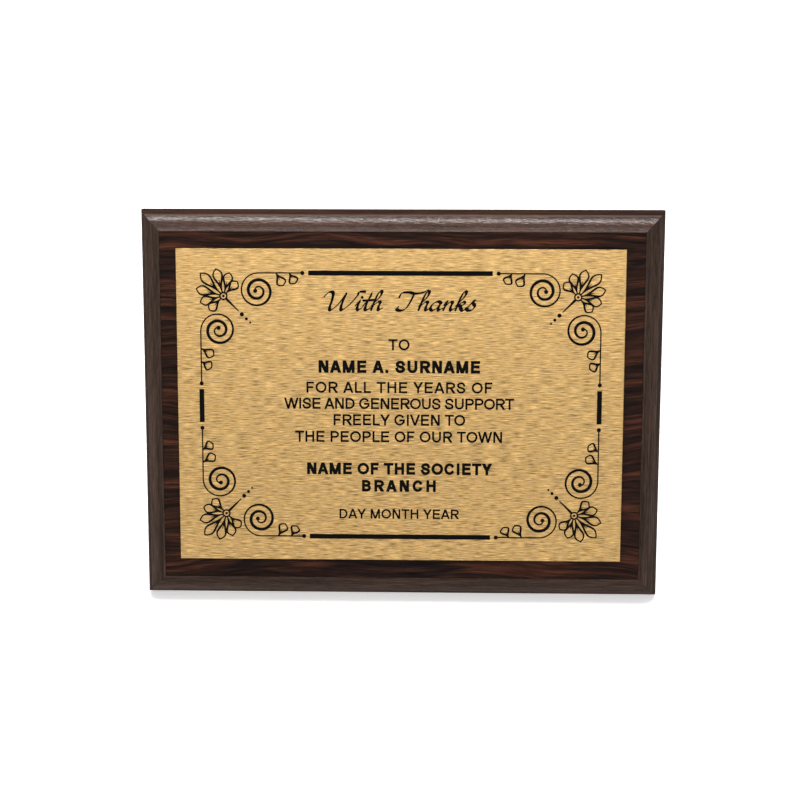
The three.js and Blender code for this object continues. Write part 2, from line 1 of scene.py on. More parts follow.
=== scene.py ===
# %% [markdown]
# # A wooden award plaque
#
# The plaque is a small board, 200 by 150 mm, with a rosewood face, dark mitred edge mouldings and a
# brushed gold plate that is printed in black. It leans back on a folding strut. The imported CAD model
# holds every size and every joint. This lesson gives the pieces their finish, and builds the four
# mouldings and the gold plate again, with finer curves.

# %% Load the fixed frame
import json
import math

import bmesh
import bpy
from mathutils import Matrix, Vector


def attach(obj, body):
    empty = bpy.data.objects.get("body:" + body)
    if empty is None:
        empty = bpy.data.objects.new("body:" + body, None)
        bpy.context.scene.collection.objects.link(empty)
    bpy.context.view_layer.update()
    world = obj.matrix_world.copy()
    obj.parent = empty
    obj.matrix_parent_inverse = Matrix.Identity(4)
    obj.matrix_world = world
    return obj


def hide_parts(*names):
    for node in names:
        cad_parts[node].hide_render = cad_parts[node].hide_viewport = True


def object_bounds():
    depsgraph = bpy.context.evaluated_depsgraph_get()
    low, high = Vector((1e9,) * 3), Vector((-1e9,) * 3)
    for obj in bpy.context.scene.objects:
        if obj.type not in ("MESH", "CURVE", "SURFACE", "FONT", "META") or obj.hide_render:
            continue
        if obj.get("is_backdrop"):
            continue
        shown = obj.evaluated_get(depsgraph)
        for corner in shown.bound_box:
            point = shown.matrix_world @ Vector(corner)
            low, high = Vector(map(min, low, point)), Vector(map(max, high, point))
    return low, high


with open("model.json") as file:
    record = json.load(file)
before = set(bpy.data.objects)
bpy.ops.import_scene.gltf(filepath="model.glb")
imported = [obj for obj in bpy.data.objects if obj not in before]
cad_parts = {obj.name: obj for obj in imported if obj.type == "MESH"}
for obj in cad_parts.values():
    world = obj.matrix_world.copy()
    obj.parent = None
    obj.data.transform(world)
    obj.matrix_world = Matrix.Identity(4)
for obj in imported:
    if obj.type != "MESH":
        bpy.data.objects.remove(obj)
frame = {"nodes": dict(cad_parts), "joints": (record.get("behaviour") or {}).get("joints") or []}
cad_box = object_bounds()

MM = 0.001
nodes = frame["nodes"]

# %% [markdown]
# ## The board's own directions
#
# The board leans back, so its grain, its edges and its print are not in line with the floor. Everything
# on it is easier to draw in the board's own directions: x across, y from front to back, z up along the
# board. The lean can be read from the plate: it is the tilt of the plate's largest face.

# %% Measure the lean and make the two places


def widest_face_normal(node):
    """The direction of a CAD node's largest flat face."""
    faces = nodes[node].data.polygons
    return max(faces, key=lambda face: face.area).normal.copy()


def tilted_place(tilt, origin):
    """A place in the row frame that is turned about X."""
    return Matrix.Translation(origin) @ Matrix.Rotation(tilt, 4, "X")


def box_in(place, node):
    """A CAD node's lowest and highest corners, measured in a place's own directions."""
    inverse = place.inverted()
    corners = [inverse @ vertex.co for vertex in nodes[node].data.vertices]
    low = Vector([min(corner[axis] for corner in corners) for axis in range(3)])
    high = Vector([max(corner[axis] for corner in corners) for axis in range(3)])
    return low, high


plate_normal = widest_face_normal("award_plate")
LEAN = abs(math.atan(plate_normal.z / plate_normal.y))
upright = tilted_place(-LEAN, Vector((0, 0, 0)))
BOARD = upright @ Matrix.Translation((0, box_in(upright, "moulding_bottom")[1].y,
                                      box_in(upright, "moulding_bottom")[0].z))
strut_normal = widest_face_normal("strut_board")
STRUT_TILT = abs(math.atan(strut_normal.z / strut_normal.y))
hinge_joint = next(joint for joint in frame["joints"] if joint["name"] == "strut_hinge")
STRUT = tilted_place(STRUT_TILT, Vector(hinge_joint["pos_m"]))
board_size = box_in(BOARD, "moulding_top")[1] - box_in(BOARD, "moulding_bottom")[0]
print("the board leans back", round(math.degrees(LEAN), 2), "degrees")
print("the strut stands", round(math.degrees(STRUT_TILT), 2), "degrees from the vertical")
print("board in mm:", [round(side / MM, 1) for side in board_size])

# %% [markdown]
# ## The camera
#
# The plaque is seen from a little above and almost straight in front, from a bit more than half a metre
# away. A long lens keeps the sides nearly parallel, and only the top comes out a trace wider than the
# foot, because it leans towards the lens.

# %% Set the camera
DISTANCE = 0.579
AZIMUTH = math.radians(1.46)
ELEVATION = math.radians(23.22)
ROLL = math.radians(-0.255)
LENS = 68.2
AIM = BOARD @ Vector((0, -15 * MM, 75 * MM))
FRAMING_RIGHT = -0.55 * MM
FRAMING_UP = 2.95 * MM

to_camera = Vector((math.sin(AZIMUTH) * math.cos(ELEVATION),
                    -math.cos(AZIMUTH) * math.cos(ELEVATION),
                    math.sin(ELEVATION)))
camera_right = Vector((math.cos(AZIMUTH), math.sin(AZIMUTH), 0))
camera_up = to_camera.cross(camera_right)
rolled_right = math.cos(ROLL) * camera_right + math.sin(ROLL) * camera_up
rolled_up = to_camera.cross(rolled_right)
camera_place = Matrix((rolled_right, rolled_up, to_camera)).transposed().to_4x4()
camera_place.translation = AIM + FRAMING_RIGHT * rolled_right + FRAMING_UP * rolled_up + DISTANCE * to_camera

camera_data = bpy.data.cameras.new("camera")
camera_data.lens = LENS
camera_data.clip_start = 0.01
camera = bpy.data.objects.new("camera", camera_data)
camera.matrix_world = camera_place
bpy.context.scene.collection.objects.link(camera)
bpy.context.scene.camera = camera
print("camera at", [round(value, 3) for value in camera.matrix_world.translation])

# %% [markdown]
# ## Building a finish from nodes
#
# Every finish is a small tree of nodes, and a few short helpers keep the trees readable. One starts a
# material and hands back its shader. One measures a pattern in the board's own directions, so that the
# grain runs with the board and not with the floor. The others add a noise, a ramp, a mix or some relief.

# %% Helpers for finishes


def linear(red, green, blue):
    """A colour as it looks on a screen, 0 to 255, in the linear values that a shader wants."""
    values = []
    for channel in (red, green, blue):
        level = channel / 255
        values.append(level / 12.92 if level <= 0.04045 else ((level + 0.055) / 1.055) ** 2.4)
    return (*values, 1.0)


def add_node(tree, kind, **settings):
    node = tree.nodes.new(kind)
    for name, value in settings.items():
        setattr(node, name, value)
    return node


def start_material(name, **values):
    """A new material, its tree and its shader, with plain values set on the shader's sockets."""
    material = bpy.data.materials.new(name)
    material.use_nodes = True
    tree = material.node_tree
    shader = tree.nodes["Principled BSDF"]
    for socket, value in values.items():
        shader.inputs[socket.replace("_", " ")].default_value = value
    return material, tree, shader


def scaled_coordinates(tree, frequency):
    """Object coordinates turned upright and then multiplied, axis by axis. The unit is cycles a metre."""
    coordinates = add_node(tree, "ShaderNodeTexCoord")
    turn = add_node(tree, "ShaderNodeMapping")
    turn.inputs["Rotation"].default_value = (LEAN, 0, 0)
    tree.links.new(coordinates.outputs["Object"], turn.inputs["Vector"])
    stretch = add_node(tree, "ShaderNodeMapping")
    stretch.inputs["Scale"].default_value = frequency
    tree.links.new(turn.outputs["Vector"], stretch.inputs["Vector"])
    return stretch.outputs["Vector"]


def noise(tree, vector, detail=2.0, roughness=0.5, distortion=0.0):
    texture = add_node(tree, "ShaderNodeTexNoise")
    texture.inputs["Scale"].default_value = 1.0
    texture.inputs["Detail"].default_value = detail
    texture.inputs["Roughness"].default_value = roughness
    texture.inputs["Distortion"].default_value = distortion
    tree.links.new(vector, texture.inputs["Vector"])
    return texture.outputs["Fac"]


def ramp(tree, value, *stops):
    """A colour ramp. Each stop is a position and a colour, or a position and a grey level."""
    node = add_node(tree, "ShaderNodeValToRGB")
    elements = node.color_ramp.elements
    while len(elements) < len(stops):
        elements.new(0.5)
    for element, (position, colour) in zip(elements, stops):
        element.position = position
        element.color = colour if isinstance(colour, tuple) else (colour, colour, colour, 1)
    tree.links.new(value, node.inputs["Fac"])
    return node.outputs["Color"]


def blend_colours(tree, mode, amount, first, second):
    """Mixes two colours. The amount is a number or a socket."""
    mix = add_node(tree, "ShaderNodeMix", data_type="RGBA", blend_type=mode)
    for socket, value in ((mix.inputs[0], amount), (mix.inputs[6], first), (mix.inputs[7], second)):
        if isinstance(value, bpy.types.NodeSocket):
            tree.links.new(value, socket)
        else:
            socket.default_value = value
    return mix.outputs[2]


def number_range(tree, value, low, high, from_low=0.0, from_high=1.0):
    """Turns a grey pattern into a number between low and high."""
    node = add_node(tree, "ShaderNodeMapRange")
    node.inputs["From Min"].default_value = from_low
    node.inputs["From Max"].default_value = from_high
    node.inputs["To Min"].default_value = low
    node.inputs["To Max"].default_value = high
    tree.links.new(value, node.inputs["Value"])
    return node.outputs["Result"]


def add_bump(tree, shader, height, strength, depth):
    """Relief from a grey pattern. The depth is in metres."""
    bump = add_node(tree, "ShaderNodeBump")
    bump.inputs["Strength"].default_value = strength
    bump.inputs["Distance"].default_value = depth
    tree.links.new(height, bump.inputs["Height"])
    tree.links.new(bump.outputs["Normal"], shader.inputs["Normal"])


print("helpers for finishes are ready")

# %% [markdown]
# ## Helpers for shapes
#
# A fine mesh is drawn in a place's own directions and then put into the row frame, so its object stays
# at the origin, as the CAD nodes do. Faces that meet at a shallow angle are shaded smooth, and real
# edges stay crisp.

# %% Helpers for shapes
SMOOTH_BELOW = math.radians(35)


def finish_mesh(name, mesh, material, body, stands_for=()):
    """Shades a mesh, makes its object, and ties it to the frame."""
    mesh.materials.clear()
    mesh.materials.append(material)
    mesh.shade_smooth()
    mesh.set_sharp_from_angle(angle=SMOOTH_BELOW)
    piece = bpy.data.objects.new(name, mesh)
    bpy.context.scene.collection.objects.link(piece)
    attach(piece, body)
    if stands_for:
        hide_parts(*stands_for)
    return piece


def mesh_from(name, work, place):
    """Closes a bmesh drawn in a place's own directions and returns it as a mesh in the row frame."""
    bmesh.ops.recalc_face_normals(work, faces=work.faces)
    mesh = bpy.data.meshes.new(name)
    work.to_mesh(mesh)
    work.free()
    mesh.transform(place)
    return mesh


def stretch_cube(vertices, low, high):
    """Moves the corners of a unit cube out to two given corners."""
    for vertex in vertices:
        for axis in range(3):
            share = vertex.co[axis] + 0.5
            vertex.co[axis] = low[axis] * (1 - share) + high[axis] * share


def dress(node, material, rounding=0.0, segments=2):
    """Gives a CAD node its finish, and a small rounding on its edges."""
    piece = nodes[node]
    piece.data.materials.clear()
    piece.data.materials.append(material)
    piece.data.shade_smooth()
    piece.data.set_sharp_from_angle(angle=SMOOTH_BELOW)
    if rounding:
        bevel = piece.modifiers.new("rounding", "BEVEL")
        bevel.width = rounding
        bevel.segments = segments
        bevel.limit_method = "ANGLE"
        bevel.angle_limit = SMOOTH_BELOW
        bevel.harden_normals = False


print("helpers for shapes are ready")

# %% [markdown]
# ## The foil on the edge mouldings
#
# The mouldings are fibreboard wrapped in a printed wood-grain foil. The print is a quiet dark walnut
# whose grain runs along each moulding, and short fine pores are embossed in it. Real foil has one gloss
# and one colour all round. Here the front of the top moulding is glossy, so it mirrors the lamp, and its
# pores break that reflection into small dashes. Its outside and the other three mouldings are given
# almost no gloss, because the pale studio would otherwise wash the dark print out. The print's colour
# also has light and shade painted into it. The front of the top moulding is printed lighter and redder,
# as painted light from the lamp overhead. Its outside is printed darker, as painted shade. The other
# three carry a grey cast, a painted reflection of the pale floor that their low gloss leaves out. The
# pattern is drawn in the moulding's own map: along its length, and round its section.

# %% Edge foil
PORE_DEPTH = 0.11 * MM
DULL_UNTIL = 19.3 * MM
GLOSSY_FROM = 20.6 * MM
ADDED_ROUGHNESS = 0.7
LOW_GLOSS = 0.02
HIGH_GLOSS = 0.44
# One walnut foil in three lights: the top's lighter, redder front is painted light, the top's darker outside
# is painted shade, and the sides' grey cast is a painted reflection of the floor.
SIDE_PRINT_AND_PAINTED_REFLECTION = ((47, 37, 32), (61, 48, 42), (78, 60, 52))
TOP_PRINT_AND_PAINTED_LIGHT = ((56, 37, 29), (74, 50, 39), (94, 64, 51))
OUTSIDE_PRINT_AND_PAINTED_SHADE = ((44, 30, 24), (56, 38, 30), (72, 48, 38))


def make_edge_foil(name, seed, gloss_level, print_with_painted_light_and_shade):
    material, tree, shader = start_material(name, Roughness=0.3, IOR=1.5, Specular_IOR_Level=gloss_level)
    uv = add_node(tree, "ShaderNodeUVMap", uv_map="wrap")

    def along(length, width, shift=0.0):
        stretch = add_node(tree, "ShaderNodeMapping")
        stretch.inputs["Scale"].default_value = (1 / length, 1 / width, 1)
        stretch.inputs["Location"].default_value = (seed + shift, seed * 0.7, seed)
        tree.links.new(uv.outputs["UV"], stretch.inputs["Vector"])
        return stretch.outputs["Vector"]

    bands = noise(tree, along(60 * MM, 2.2 * MM), detail=4, roughness=0.6, distortion=0.3)
    # The ramp's colours are the walnut print together with the painted light and shade of each moulding's
    # place.
    dark, middle, light = (linear(*levels) for levels in print_with_painted_light_and_shade)
    colour = ramp(tree, bands, (0.3, dark), (0.5, middle), (0.72, light))
    threads = noise(tree, along(8 * MM, 0.42 * MM, 3.1), detail=3, roughness=0.7)
    shades = ramp(tree, threads, (0.34, 0.5), (0.66, 1.2))
    colour = blend_colours(tree, "MULTIPLY", 1.0, colour, shades)
    tree.links.new(colour, shader.inputs["Base Color"])
    pores = noise(tree, along(2.6 * MM, 0.55 * MM, 7.7), detail=0.8, roughness=0.5, distortion=0.5)
    gloss = number_range(tree, pores, 0.2, 0.32, 0.35, 0.65)
    around = add_node(tree, "ShaderNodeSeparateXYZ")
    tree.links.new(uv.outputs["UV"], around.inputs["Vector"])
    dull = number_range(tree, around.outputs["Y"], ADDED_ROUGHNESS, 0.0, DULL_UNTIL, GLOSSY_FROM)
    rough = add_node(tree, "ShaderNodeMath", operation="ADD")
    tree.links.new(gloss, rough.inputs[0])
    tree.links.new(dull, rough.inputs[1])
    tree.links.new(rough.outputs["Value"], shader.inputs["Roughness"])
    add_bump(tree, shader, pores, 1.0, PORE_DEPTH)
    return material


# Gloss and colour for each place: the top entry carries painted light, the outside entry painted shade, and
# the side entries a painted reflection.
foil_gloss_and_painted_light = {"bottom": (LOW_GLOSS, SIDE_PRINT_AND_PAINTED_REFLECTION), "right": (LOW_GLOSS, SIDE_PRINT_AND_PAINTED_REFLECTION),
              "top": (HIGH_GLOSS, TOP_PRINT_AND_PAINTED_LIGHT), "left": (LOW_GLOSS, SIDE_PRINT_AND_PAINTED_REFLECTION),
              "outside": (LOW_GLOSS, OUTSIDE_PRINT_AND_PAINTED_SHADE)}
edge_foils = {side: make_edge_foil(f"edge_foil_{side}", 4.3 * number, level, colours)
              for number, (side, (level, colours)) in enumerate(foil_gloss_and_painted_light.items(), start=1)}
print("made", len(edge_foils), "edge foils, one for each moulding and one for the outside of the top")

# %% [markdown]
# ## The edge mouldings
#
# Each side of the board is one length of moulding, cut to 45 degrees at both ends. From the panel
# outwards its section has a narrow flat lip, a small step down, a long curved slope like a quarter of
# an ellipse, a straight side and a bevelled rear edge. A groove on the inner side grips the core board.
# The section is swept along each side, and each end ring is pulled in by its distance from the outer
# face, which cuts the mitre. A faint wave, two hundredths of a millimetre, keeps the long highlight
# alive, as on real wrapped moulding.

# %% Sweep the mouldings
FACE = 8.2 * MM
LIP = 0.8 * MM
LIP_ROUND = 0.2 * MM
QUIRK = 0.7 * MM
SLOPE_DEPTH = 9.6 * MM
REAR_BEVEL = 0.5 * MM
GROOVE_DEPTH = 3 * MM
GROOVE_FRONT = 10.5 * MM
GROOVE_REAR = 6 * MM
MITRE_GAP = 0.05 * MM
RINGS = 48
WAVE = 0.02 * MM
WAVE_FROM = 5 * MM
WEDGE_SHEET = 0.5 * MM
SLOT_PLAY = 0.1 * MM
SLOT_MOUTH = 2 * MM
CORNERS = ("bottom_left", "bottom_right", "top_right", "top_left")
THICKNESS = board_size.y
BOARD_WIDTH = board_size.x
BOARD_HEIGHT = board_size.z


def arc_points(centre, radii, start, end, steps):
    """Points on an ellipse, from one angle to another, in degrees."""
    points = []
    for step in range(steps + 1):
        angle = math.radians(start + (end - start) * step / steps)
        points.append((centre[0] + radii[0] * math.cos(angle), centre[1] + radii[1] * math.sin(angle)))
    return points


def moulding_section():
    """Distance in from the outer face, and depth behind the rear as a negative number."""
    lip_start = FACE - LIP
    slope_end = -(THICKNESS - QUIRK - SLOPE_DEPTH)
    points = [(FACE, 0)]
    points += arc_points((REAR_BEVEL, -REAR_BEVEL), (REAR_BEVEL, REAR_BEVEL), 90, 180, 5)
    points += arc_points((lip_start, slope_end), (lip_start, SLOPE_DEPTH), 180, 270, 40)
    for centre, start in ((lip_start + LIP_ROUND, 180), (FACE - LIP_ROUND, 270)):
        points += arc_points((centre, LIP_ROUND - THICKNESS), (LIP_ROUND, LIP_ROUND), start, start + 90, 5)
    points += [(FACE, -GROOVE_FRONT), (FACE - GROOVE_DEPTH, -GROOVE_FRONT),
               (FACE - GROOVE_DEPTH, -GROOVE_REAR), (FACE, -GROOVE_REAR)]
    return points


def sweep_moulding(side, length, place, seed):
    section = moulding_section()
    work = bmesh.new()
    wrap = work.loops.layers.uv.new("wrap")
    lengths = [0.0]
    for here, there in zip(section, section[1:] + section[:1]):
        lengths.append(lengths[-1] + math.dist(here, there))
    rings = []
    for ring in range(RINGS + 1):
        share = ring / RINGS
        sway = WAVE * math.sin(seed + 5.1 * math.pi * share) * math.sin(math.pi * share)
        vertices = []
        for inwards, depth in section:
            reach = length / 2 - inwards - MITRE_GAP
            front = min(1.0, max(0.0, (-depth - WAVE_FROM) / WAVE_FROM))
            x = -reach + 2 * reach * share
            vertices.append(work.verts.new((x, depth + sway * front, inwards)))
        rings.append(vertices)
    count = len(section)
    for number, (ring, after) in enumerate(zip(rings, rings[1:])):
        for index in range(count):
            following = (index + 1) % count
            face = work.faces.new((ring[index], ring[following], after[following], after[index]))
            steps = (lengths[index], lengths[index + 1], lengths[index + 1], lengths[index])
            for loop, round_section in zip(face.loops, steps):
                loop[wrap].uv = (loop.vert.co.x, round_section)
    for ring in (rings[0], rings[-1]):
        cap = work.faces.new(ring)
        for loop in cap.loops:
            loop[wrap].uv = (loop.vert.co.y, loop.vert.co.z)
    return mesh_from(f"moulding_{side}", work, BOARD @ place)


def cut_wedge_slots(mesh):
    """Cuts the thin slots in which the corner wedges sit."""
    work = bmesh.new()
    for corner in CORNERS:
        low, high = box_in(BOARD, f"corner_wedge_{corner}")
        x_leg = (low.x, low.x + WEDGE_SHEET) if "left" in corner else (high.x - WEDGE_SHEET, high.x)
        z_leg = (low.z, low.z + WEDGE_SHEET) if "bottom" in corner else (high.z - WEDGE_SHEET, high.z)
        for x_span, z_span in ((x_leg, (low.z, high.z)), ((low.x, high.x), z_leg)):
            box = bmesh.ops.create_cube(work, size=1)
            spans = (x_span, (low.y, SLOT_MOUTH), z_span)
            stretch_cube(box["verts"], [start - SLOT_PLAY for start, end in spans],
                         [end + SLOT_PLAY for start, end in spans])
    cutter_mesh = bpy.data.meshes.new("slot_cutter")
    work.to_mesh(cutter_mesh)
    work.free()
    cutter_mesh.transform(BOARD)
    cutter = bpy.data.objects.new("slot_cutter", cutter_mesh)
    blank = bpy.data.objects.new("slot_blank", mesh)
    for helper in (cutter, blank):
        bpy.context.scene.collection.objects.link(helper)
    modifier = blank.modifiers.new("slots", "BOOLEAN")
    modifier.object = cutter
    modifier.operation = "DIFFERENCE"
    modifier.solver = "EXACT"
    modifier.use_self = True
    bpy.context.view_layer.update()
    shown = blank.evaluated_get(bpy.context.evaluated_depsgraph_get())
    cut = bpy.data.meshes.new_from_object(shown)
    cut.name = mesh.name
    for helper in (cutter, blank):
        bpy.data.objects.remove(helper)
    return cut


half_turn = Matrix.Rotation(math.pi, 4, "Y")
quarter_turn = Matrix.Rotation(math.pi / 2, 4, "Y")
middle_height = BOARD_HEIGHT / 2
moulding_places = {
    "bottom": (BOARD_WIDTH, Matrix.Identity(4)),
    "right": (BOARD_HEIGHT,
              Matrix.Translation((BOARD_WIDTH / 2, 0, middle_height)) @ quarter_turn.inverted()),
    "top": (BOARD_WIDTH, Matrix.Translation((0, 0, BOARD_HEIGHT)) @ half_turn),
    "left": (BOARD_HEIGHT, Matrix.Translation((-BOARD_WIDTH / 2, 0, middle_height)) @ quarter_turn),
}
for number, (side, (length, place)) in enumerate(moulding_places.items()):
    swept = cut_wedge_slots(sweep_moulding(side, length, place, 1.7 * number))
    piece = finish_mesh(f"{side}_moulding", swept, edge_foils[side], "plaque",
                        [f"moulding_{side}"])
    print(piece.name, len(swept.polygons), "faces")
    if side == "top":
        swept.materials.append(edge_foils["outside"])
        round_section = swept.uv_layers["wrap"].uv
        for face in swept.polygons:
            if max(round_section[loop].vector.y for loop in face.loop_indices) < DULL_UNTIL:
                face.material_index = 1

# %% [markdown]
# ## The rosewood face
#
# The face veneer is dark rosewood under a satin lacquer. Its grain runs across the board: broad bands
# of red and brown, a few black veins that wander slowly up and down, and very fine pores. One pattern
# of slow waves bends all of them together, which is what makes separate patterns read as one wood.
# The veins are the places where a smooth pattern crosses its middle value. The gloss is set far below
# a real lacquer's, for the same reason as on the foil.

# %% Rosewood


def make_rosewood():
    material, tree, shader = start_material("rosewood", Roughness=0.38, IOR=1.5, Specular_IOR_Level=0.045)
    straight = scaled_coordinates(tree, (1, 1, 1))
    drift = noise(tree, scaled_coordinates(tree, (14, 1, 22)), detail=1)
    shift = add_node(tree, "ShaderNodeCombineXYZ")
    tree.links.new(number_range(tree, drift, -11 * MM, 11 * MM), shift.inputs["Z"])
    bent = add_node(tree, "ShaderNodeVectorMath", operation="ADD")
    tree.links.new(straight, bent.inputs[0])
    tree.links.new(shift.outputs["Vector"], bent.inputs[1])

    def grain(length, width):
        stretch = add_node(tree, "ShaderNodeMapping")
        stretch.inputs["Scale"].default_value = (1 / length, 1, 1 / width)
        tree.links.new(bent.outputs["Vector"], stretch.inputs["Vector"])
        return stretch.outputs["Vector"]

    bands = noise(tree, grain(90 * MM, 5 * MM), detail=4, roughness=0.62)
    colour = ramp(tree, bands, (0.34, linear(15, 9, 6)), (0.47, linear(35, 20, 14)),
                  (0.56, linear(58, 32, 22)), (0.7, linear(80, 44, 31)))
    veins = noise(tree, grain(120 * MM, 6.5 * MM), detail=1)
    vein_mask = ramp(tree, veins, (0.455, 0.0), (0.495, 1.0), (0.505, 1.0), (0.535, 0.0))
    colour = blend_colours(tree, "MIX", number_range(tree, vein_mask, 0.0, 0.8), colour, linear(17, 12, 11))
    threads = noise(tree, grain(14 * MM, 0.5 * MM), detail=3, roughness=0.65)
    colour = blend_colours(tree, "MULTIPLY", 1.0, colour, ramp(tree, threads, (0.38, 0.36), (0.62, 1.4)))
    tree.links.new(colour, shader.inputs["Base Color"])
    pores = noise(tree, grain(5 * MM, 0.22 * MM), detail=3, roughness=0.6)
    tree.links.new(number_range(tree, pores, 0.3, 0.5, 0.35, 0.65), shader.inputs["Roughness"])
    add_bump(tree, shader, pores, 0.35, 0.05 * MM)
    return material


rosewood = make_rosewood()
dress("face_veneer", rosewood)
veneer_low, veneer_high = box_in(BOARD, "face_veneer")
print("the face veneer in mm:", [round(side / MM, 1) for side in veneer_high - veneer_low])

# %% [markdown]
# ## The gold plate
#
# The plate is thin aluminium, brushed along its length and then anodised gold. Brushing leaves fine
# scratches of every length side by side. They spread reflections up and down but hardly sideways, which
# an anisotropic shader gives. The scratches that can be seen one by one come from stretched noise, in
# the colour, the gloss and the relief. The cut edge is a little rounded and catches the light.

# %% Gold plate
EDGE_ROUND = 0.22 * MM
FLAT_MARGIN = 0.15 * MM


def make_brushed_gold():
    material, tree, shader = start_material("brushed_gold", Metallic=1.0, Roughness=0.34, Anisotropic=0.4,
                                            Anisotropic_Rotation=0.25)
    tangent = add_node(tree, "ShaderNodeTangent", direction_type="UV_MAP", uv_map="flat")
    tree.links.new(tangent.outputs["Tangent"], shader.inputs["Tangent"])
    broad = noise(tree, scaled_coordinates(tree, (50, 1, 1700)), detail=3, roughness=0.7)
    fine = noise(tree, scaled_coordinates(tree, (190, 1, 3700)), detail=1, roughness=0.6)
    short = noise(tree, scaled_coordinates(tree, (420, 1, 2600)), detail=2, roughness=0.7)
    colour = ramp(tree, broad, (0.3, linear(185, 151, 98)), (0.7, linear(195, 160, 104)))
    colour = blend_colours(tree, "MULTIPLY", 1.0, colour, ramp(tree, fine, (0.3, 0.42), (0.7, 1.3)))
    colour = blend_colours(tree, "MULTIPLY", 1.0, colour, ramp(tree, short, (0.32, 0.72), (0.68, 1.16)))
    tree.links.new(colour, shader.inputs["Base Color"])
    tree.links.new(number_range(tree, fine, 0.27, 0.39, 0.3, 0.7), shader.inputs["Roughness"])
    add_bump(tree, shader, fine, 0.25, 0.03 * MM)
    return material


def rounded_slab(name, low, high, rounding, place):
    """A flat plate with its edges rounded, and a flat map measured in metres."""
    work = bmesh.new()
    bmesh.ops.create_cube(work, size=1)
    stretch_cube(work.verts, low, high)
    bmesh.ops.bevel(work, geom=work.edges[:], offset=rounding, segments=3, profile=0.5, affect="EDGES")
    broad_faces = sorted(work.faces, key=lambda face: face.calc_area())[-2:]
    bmesh.ops.inset_individual(work, faces=broad_faces, thickness=FLAT_MARGIN)
    flat = work.loops.layers.uv.new("flat")
    for face in work.faces:
        for loop in face.loops:
            loop[flat].uv = (loop.vert.co.x, loop.vert.co.z)
    return mesh_from(name, work, place)


brushed_gold = make_brushed_gold()
plate_low, plate_high = box_in(BOARD, "award_plate")
plate_mesh = rounded_slab("gold_plate", plate_low, plate_high, EDGE_ROUND, BOARD)
finish_mesh("gold_plate", plate_mesh, brushed_gold, "plaque", ["award_plate"])
PLATE_WIDTH = plate_high.x - plate_low.x
PLATE_HEIGHT = plate_high.z - plate_low.z
print("the plate is", round(PLATE_WIDTH / MM, 1), "by", round(PLATE_HEIGHT / MM, 1), "mm")

# %% [markdown]
# ## Ink, and a pen that draws with it
#
# The print is black screen ink, a few hundredths of a millimetre proud of the metal. Everything in it
# is drawn with one pen. A stroke follows a line of points and has a width, which can change on the way,
# and it becomes a thin raised ribbon. Strokes that cross are given slightly different heights, so that
# they never share a surface.

# %% Ink and pen
INK_HEIGHT = 0.025
INK_STEP = 0.0006
INK_LAYERS = 16
SHARPEST_MITRE = 0.4
plate_corner = Matrix.Translation((plate_low.x, plate_low.y, plate_high.z))
PRINT = BOARD @ plate_corner @ Matrix.Rotation(math.pi / 2, 4, "X")


def make_ink():
    material, tree, shader = start_material("black_ink", Roughness=0.55, IOR=1.45, Specular_IOR_Level=0.04)
    grit = noise(tree, scaled_coordinates(tree, (2600, 2600, 2600)), detail=2)
    colour = ramp(tree, grit, (0.3, linear(4, 4, 4)), (0.7, linear(11, 10, 9)))
    tree.links.new(colour, shader.inputs["Base Color"])
    tree.links.new(number_range(tree, grit, 0.45, 0.65), shader.inputs["Roughness"])
    return material


black_ink = make_ink()


def smooth_line(points, steps=8):
    """A smooth line through the points."""
    last = len(points) - 1
    line = []
    for span in range(last):
        before, start, end, after = (Vector(points[min(max(span + k, 0), last)]) for k in (-1, 0, 1, 2))
        for step in range(steps):
            t = step / steps
            line.append(0.5 * (2 * start + (end - before) * t
                               + (2 * before - 5 * start + 4 * end - after) * t ** 2
                               + (3 * start - before - 3 * end + after) * t ** 3))
    line.append(Vector(points[last]))
    return line


def even_width(width):
    return lambda share, direction: width


def swelling(thin, thick, middle=0.5, reach=0.5):
    """Thin at the ends and thick at one share of the length."""
    def width(share, direction):
        away = min(1.0, abs(share - middle) / reach)
        return thin + (thick - thin) * (0.5 + 0.5 * math.cos(math.pi * away))
    return width


def tapering(thick, thin):
    return lambda share, direction: thick + (thin - thick) * share


